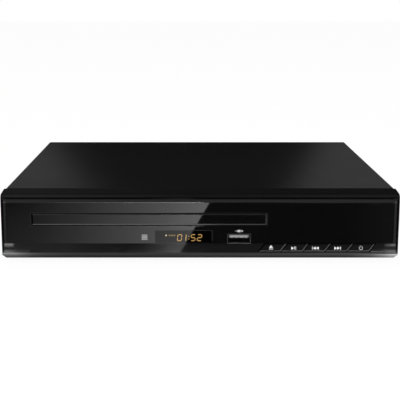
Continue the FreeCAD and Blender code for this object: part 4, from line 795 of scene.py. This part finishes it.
def floor_finish():
    """Matt to the light, and nearly white to the camera and in reflections."""
    material, tree, surface = bare_material("floor_white")
    matt = tree.nodes.new("ShaderNodeBsdfDiffuse")
    matt.inputs["Color"].default_value = FLOOR_COLOUR
    glow = tree.nodes.new("ShaderNodeEmission")
    share = tree.nodes.new("ShaderNodeMath")
    share.operation = "MULTIPLY"
    share.inputs[1].default_value = FLOOR_WHITE_SHARE
    mix = tree.nodes.new("ShaderNodeMixShader")
    tree.links.new(light_path_level(tree), share.inputs[0])
    tree.links.new(share.outputs["Value"], mix.inputs["Fac"])
    tree.links.new(matt.outputs["BSDF"], mix.inputs[1])
    tree.links.new(glow.outputs["Emission"], mix.inputs[2])
    tree.links.new(mix.outputs["Shader"], surface)
    return material


def card_finish():
    """A glow whose level is an attribute of the card's points."""
    material, tree, surface = bare_material("card_glow")
    glow = tree.nodes.new("ShaderNodeEmission")
    level = tree.nodes.new("ShaderNodeAttribute")
    level.attribute_name = "glow"
    tree.links.new(level.outputs["Fac"], glow.inputs["Strength"])
    tree.links.new(glow.outputs["Emission"], surface)
    return material


def stage_object(name, points, faces, material):
    """A mesh that belongs to the stage and not to the part."""
    mesh = bpy.data.meshes.new(name)
    mesh.from_pydata(points, [], faces)
    mesh.materials.append(material)
    thing = bpy.data.objects.new(name, mesh)
    scene.collection.objects.link(thing)
    return thing


FLOOR_HALF = 6.0
FLOOR_SIGNS = ((-1, -1), (1, -1), (1, 1), (-1, 1))
floor_corners = [(FLOOR_HALF * x, FLOOR_HALF * y, 0.0) for x, y in FLOOR_SIGNS]
stage_object("floor", floor_corners, [(0, 1, 2, 3)], floor_finish())


def add_lamp(name, place, size, power):
    """A round soft lamp that points at the origin."""
    lamp = bpy.data.objects.new(name, bpy.data.lights.new(name, "AREA"))
    lamp.data.shape = "DISK"
    lamp.data.size = size
    lamp.data.energy = power
    lamp.location = place
    lamp.rotation_euler = (-Vector(place)).to_track_quat("-Z", "Y").to_euler()
    scene.collection.objects.link(lamp)


# Each lamp's name, place, size and power.
LAMPS = (
    ("key_lamp", (-0.75, -0.85, 1.15), 0.9, 7.5),
    ("fill_lamp", (0.95, -0.7, 0.95), 0.9, 4.5),
    ("top_lamp", (0.0, 0.15, 1.5), 1.0, 7.0),
)
for lamp_row in LAMPS:
    add_lamp(*lamp_row)

CARD_GLOW = card_finish()
UNSEEN_BY = ("camera", "diffuse", "shadow", "transmission", "volume_scatter")


def add_card(name, columns):
    """A card of strips: each column is a line of points with a light level at each."""
    rows = len(columns[0])
    points = [tuple(point) for column in columns for point, level in column]
    corners = [n * rows + m for n in range(len(columns) - 1) for m in range(rows - 1)]
    faces = [(c, c + 1, c + rows + 1, c + rows) for c in corners]
    card = stage_object(name, points, faces, CARD_GLOW)
    glow = card.data.attributes.new("glow", "FLOAT", "POINT")
    glow.data.foreach_set("value", [level for column in columns for point, level in column])
    for ray in UNSEEN_BY:
        setattr(card, f"visible_{ray}", False)


def reflected(pixel, surface, wall):
    """Where a pixel's ray lands on a wall after a mirror surface; both are (point, normal)."""
    ray = pixel_ray(pixel)
    point, normal = surface
    hit = CAMERA_PLACE + ray * ((point - CAMERA_PLACE).dot(normal) / ray.dot(normal))
    ray = ray - 2.0 * ray.dot(normal) * normal
    point, normal = wall
    return hit + ray * ((point - hit).dot(normal) / ray.dot(normal))


def mirror_card(name, surface, wall, columns):
    """A card seen in a surface of the part: columns of pixels of the photograph with levels."""
    add_card(name, [
        [(reflected(pixel, surface, wall), level) for pixel, level in column] for column in columns
    ])


# How the band and the lens's side bevels lean, as runs and rises in mm.
BAND_LEAN = Vector((0.0, 1.4, 5.45)).normalized()
BEVEL_LEAN = Vector((1.8, 0.5, 0.0)).normalized()
LIP_TOP = 6.25 * MM
FLOOR_CARD_HEIGHT = 0.5 * MM
STRIP_HEIGHT = 0.3 * MM
FRONT_CARD_Y = -0.4
NEAR_Y = FRONT_CARD_Y + 2 * MM
FORWARD = Vector(FRONT)
LENS_FACE = (Vector((0.0, bezel_low.y, lens_low.z)), FORWARD)
BAND_FACE = (Vector((0.0, bezel_low.y, LIP_TOP)), Vector((0.0, -BAND_LEAN.z, BAND_LEAN.y)))
LEFT_BEVEL = (Vector((lens_low.x, bezel_low.y, 0.0)), Vector((-BEVEL_LEAN.y, -BEVEL_LEAN.x, 0.0)))
RIGHT_BEVEL = (Vector((lens_high.x, bezel_low.y, 0.0)), Vector((BEVEL_LEAN.y, -BEVEL_LEAN.x, 0.0)))
FLOOR_WALL = (Vector((0.0, 0.0, FLOOR_CARD_HEIGHT)), Vector(UP))
FRONT_WALL = (Vector((0.0, FRONT_CARD_Y, 0.0)), FORWARD)
NEAR_WALL = (Vector((0.0, NEAR_Y, 0.0)), FORWARD)

# The photograph's reflections, in its pixels: a light area that ends on a slanting edge. Both sides of
# the front are pixel columns, and the cards go on outside them.
# Rows are (pixel row, share of the lower level).
LENS_ROWS = ((199.0, 0.0), (203.0, 0.0), (243.0, 1.0), (252.7, 1.0))
BAND_ROWS = ((215.0, 0.0), (330.0, 1.0))
EDGE_HIGH = (209.6, 201.9)
EDGE_LOW = (180.6, 251.5)
EDGE_STEP = 0.4
LEFT_SIDE = 3.2
RIGHT_SIDE = 397.0
OUTSIDE = 12.0
# Levels are (share of the way to the edge, upper level, lower level).
LENS_LEVELS = (
    (0.0, 0.08, 0.27), (0.13, 0.16, 0.35), (0.23, 0.32, 0.44), (0.38, 0.57, 0.66), (0.53, 1.0, 1.0),
    (0.68, 1.45, 1.32), (0.83, 2.0, 1.8), (1.0, 2.85, 2.6),
)
LENS_DARK = ((0.0, 0.03), (0.75, 0.03), (1.0, 0.1))
LENS_OUTSIDE = 0.0
BAND_STEPS = ((0.0, 0.36), (0.35, 0.32), (0.68, 0.12), (0.78, 0.2), (0.88, 0.75), (1.0, 1.65))
BAND_LEVELS = [(share, level, level) for share, level in BAND_STEPS]
BAND_DARK = ((0.0, 0.11), (0.3, 0.16), (0.8, 0.16), (1.0, 0.22))
BAND_OUTSIDE = 0.1


def edge_at(row):
    """The pixel column of the slanting edge at a pixel row."""
    share = (row - EDGE_HIGH[1]) / (EDGE_LOW[1] - EDGE_HIGH[1])
    return EDGE_HIGH[0] + share * (EDGE_LOW[0] - EDGE_HIGH[0])


def slanted_columns(rows, levels, dark, outside):
    """Columns from the left side to the slanting edge, then the dark rest, and both outsides."""
    columns = [[((x, row), outside) for row, lower in rows] for x in (LEFT_SIDE - OUTSIDE, LEFT_SIDE)]
    for share, high_level, low_level in levels:
        places = [(LEFT_SIDE + share * (edge_at(row) - LEFT_SIDE), row) for row, lower in rows]
        row_levels = [high_level + lower * (low_level - high_level) for row, lower in rows]
        columns.append(list(zip(places, row_levels)))
    for share, level in dark:
        starts = [(edge_at(row) + EDGE_STEP, row) for row, lower in rows]
        columns.append([((x + share * (RIGHT_SIDE - x), row), level) for x, row in starts])
    columns += [[((x, row), outside) for row, lower in rows] for x in (RIGHT_SIDE, RIGHT_SIDE + OUTSIDE)]
    return columns


mirror_card(
    "lens_card", LENS_FACE, FLOOR_WALL, slanted_columns(LENS_ROWS, LENS_LEVELS, LENS_DARK, LENS_OUTSIDE)
)
mirror_card(
    "band_card", BAND_FACE, FRONT_WALL, slanted_columns(BAND_ROWS, BAND_LEVELS, BAND_DARK, BAND_OUTSIDE)
)

# The lens's bevels at both ends.
for name, face, left, right, level in (
    ("left_bevel_card", LEFT_BEVEL, -2.0, 7.5, 0.45),
    ("right_bevel_card", RIGHT_BEVEL, 392.5, 402.0, 0.5),
):
    mirror_card(name, face, FLOOR_WALL, [
        [((x, row), level) for row, lower in LENS_ROWS] for x in (left, right)
    ])

# Small lights in both ends of the band: rows, then (pixel column, levels down the rows).
LEFT_ROWS = (242.7, 243.5, 244.3, 245.3, 246.2, 246.8, 249.7)
LEFT_GLOW = (3.0, 4.0, 6.2, 5.4, 2.2, 0.1, 0.1)
LEFT_LIGHT = ((3.4, LEFT_GLOW), (13.2, LEFT_GLOW))
RIGHT_ROWS = (244.3, 244.7, 245.3, 246.0, 246.6, 247.1, 249.4)
RIGHT_LIGHT = (
    (384.8, (1.4, 1.7, 1.7, 1.0, 0.6, 0.25, 0.3)),
    (396.0, (7.0, 7.6, 6.0, 2.4, 0.6, 0.25, 0.3)),
)
LOW_ROWS = (249.7, 250.2, 250.8, 251.6, 253.2)
LEFT_LOW = (
    (3.4, (0.6, 2.0, 3.6, 4.8, 5.0)),
    (9.0, (0.6, 1.8, 3.1, 4.2, 4.5)),
    (13.0, (0.6, 1.4, 2.1, 3.1, 3.5)),
    (17.0, (0.6, 0.9, 1.0, 1.5, 1.8)),
    (30.0, (0.5, 0.75, 0.65, 0.8, 0.9)),
)
RIGHT_LOW = (
    (371.0, (0.16, 0.16, 0.4, 1.1, 0.3)),
    (380.0, (0.2, 0.4, 0.6, 1.3, 0.6)),
    (384.0, (0.6, 1.5, 2.2, 2.0, 2.0)),
    (388.5, (0.9, 2.4, 3.8, 3.5, 3.4)),
    (396.0, (0.9, 2.6, 4.4, 3.9, 3.8)),
)
for name, rows, columns in (
    ("left_light", LEFT_ROWS, LEFT_LIGHT),
    ("right_light", RIGHT_ROWS, RIGHT_LIGHT),
    ("left_low_light", LOW_ROWS, LEFT_LOW),
    ("right_low_light", LOW_ROWS, RIGHT_LOW),
):
    mirror_card(name, BAND_FACE, NEAR_WALL, [
        [((x, row), level) for row, level in zip(rows, levels)] for x, levels in columns
    ])


def swept_card(name, crossing, levels):
    """A card of places along X with a level each, drawn along (y, z, share of level) points."""
    add_card(name, [
        [(Vector((x, y, z)), level * share) for y, z, share in crossing] for x, level in levels
    ])


# Floor strips close in front, seen by the lip's two faces and by the door's lower edge.
# Depths are (y, share of level) across a strip, and levels are (x, level) along it.
LIP_DEPTHS = ((-0.1112, 1.0), (-0.1143, 1.0))
FACET_DEPTHS = ((-0.1043, 1.0), (-0.104, 0.98), (-0.1034, 0.62), (-0.1026, 0.42), (-0.1016, 0.42))
DOOR_DEPTHS = ((-0.116, 1.0), (-0.1186, 1.0))
LIP_LEVELS = (
    (-0.125, 6.6), (-0.1085, 6.2), (-0.1035, 3.9), (-0.0985, 2.3), (-0.0915, 1.4), (-0.075, 0.95),
    (0.03, 0.95), (0.058, 1.2), (0.099, 1.65), (0.107, 2.0), (0.115, 3.6), (0.125, 3.6),
)
FACET_LEVELS = (
    (-0.125, 2.9), (-0.107, 2.6), (-0.101, 1.8), (-0.096, 1.2), (-0.09, 0.9), (-0.075, 0.66), (-0.03, 0.68),
    (0.0, 0.84), (0.085, 1.0), (0.098, 2.4), (0.1035, 4.8), (0.1065, 6.4), (0.109, 9.0), (0.112, 10.8),
    (0.125, 12.0),
)
DOOR_LEVELS = ((-0.125, 0.75), (-0.056, 1.35), (0.0, 1.9), (0.012, 0.35), (0.05, 0.35))
# Floor farther in front, seen by the front edge of the cover.
FAR_DEPTHS = ((-0.6, 1.0), (-0.285, 1.0))
FAR_LEVELS = ((-0.6, 2.0), (-0.1, 1.5), (-0.06, 0.2), (0.06, 0.2), (0.09, 1.5), (0.6, 2.0))
for name, depths, levels in (
    ("lip_card", LIP_DEPTHS, LIP_LEVELS),
    ("facet_card", FACET_DEPTHS, FACET_LEVELS),
    ("door_card", DOOR_DEPTHS, DOOR_LEVELS),
    ("far_floor", FAR_DEPTHS, FAR_LEVELS),
):
    swept_card(name, [(y, STRIP_HEIGHT, share) for y, share in depths], levels)

# Dark floor beside the front corners, for the cheeks.
SHADE_CROSSING = ((-0.3, STRIP_HEIGHT, 0.0), (-0.106, STRIP_HEIGHT, 0.0))
for name, near, far in (("left_shade", -0.118, -0.36), ("right_shade", 0.118, 0.36)):
    swept_card(name, SHADE_CROSSING, ((near, 1.0), (far, 1.0)))

# Tent of dim walls: front, ceiling, and a back that is dark in the middle for the satin paint.
TENT_TOP = 1.2
TENT_HALF = 1.3
BACK_Y = 0.7
BACK_SPLIT = 0.27
FRONT_LEVELS = (
    (-TENT_HALF, 0.36), (-0.15, 0.33), (-0.084, 0.24), (0.0, 0.12), (0.085, 0.15), (0.15, 0.22),
    (TENT_HALF, 0.22),
)
FRONT_HEIGHTS = (0.117, 0.3, TENT_TOP)
FRONT_SHARE = 1.1
swept_card("front_wall", [(FRONT_CARD_Y, z, FRONT_SHARE) for z in FRONT_HEIGHTS], FRONT_LEVELS)
CEILING_LEVELS = (
    (-TENT_HALF, 0.3), (-0.3, 0.28), (-0.18, 0.2), (0.0, 0.1), (0.26, 0.14), (TENT_HALF, 0.16),
)
swept_card("ceiling", ((FRONT_CARD_Y, TENT_TOP, 1.0), (BACK_Y, TENT_TOP, 0.3)), CEILING_LEVELS)
BACK_LIGHT = 0.1
BACK_DARK = 0.007
BACK_LEVELS = (
    (-2.5, BACK_LIGHT), (-0.192, BACK_LIGHT), (-0.152, BACK_DARK), (0.145, BACK_DARK), (0.172, BACK_LIGHT),
    (2.5, BACK_LIGHT),
)
BACK_HEIGHTS = ((0.001, 0.15), (0.09, 0.4), (0.12, 0.8), (0.16, 1.0), (BACK_SPLIT, 1.05))
# The back wall's light ends lean inwards, both from the same height.
LEAN_HEIGHT = 0.161
LEFT_LEAN = 0.68
RIGHT_LEAN = -0.55


def leaning(x, z):
    """A place of the back wall, moved along X by the lean of its side."""
    return Vector((x + (LEFT_LEAN if x < 0 else RIGHT_LEAN) * (z - LEAN_HEIGHT), BACK_Y, z))


add_card("back_wall", [
    [(leaning(x, z), level * share) for z, share in BACK_HEIGHTS] for x, level in BACK_LEVELS
])
BACK_TOP_LEVELS = ((-2.5, 0.04), (-0.23, 0.036), (-0.13, 0.027), (0.0, 0.018), (2.5, 0.018))
swept_card("back_top", ((BACK_Y, BACK_SPLIT, 1.0), (BACK_Y, TENT_TOP, 1.0)), BACK_TOP_LEVELS)

# Strips on the front wall: one for the lens's upper bevel, and one that lights the rims of the lens.
# A dark strip close in front keeps that light off the front edge of the cover.
HEM_SHADE_Y = -0.11
BEVEL_STRIP_LEVELS = ((-TENT_HALF, 0.5), (TENT_HALF, 0.5))
RIM_LEVELS = (
    (-0.25, 0.0), (-0.13, 0.3), (-0.085, 9.0), (-0.042, 19.0), (0.003, 36.0), (0.008, 0.3), (0.25, 0.3),
)
HEM_SHADE_LEVELS = ((-0.12, 0.0), (0.12, 0.0))
for name, y, heights, levels in (
    ("bevel_strip", NEAR_Y, (0.1345, 0.147), BEVEL_STRIP_LEVELS),
    ("rim_strip", NEAR_Y, (0.04, 0.078), RIM_LEVELS),
    ("hem_shade", HEM_SHADE_Y, (0.0395, 0.043), HEM_SHADE_LEVELS),
):
    swept_card(name, [(y, z, 1.0) for z in heights], levels)
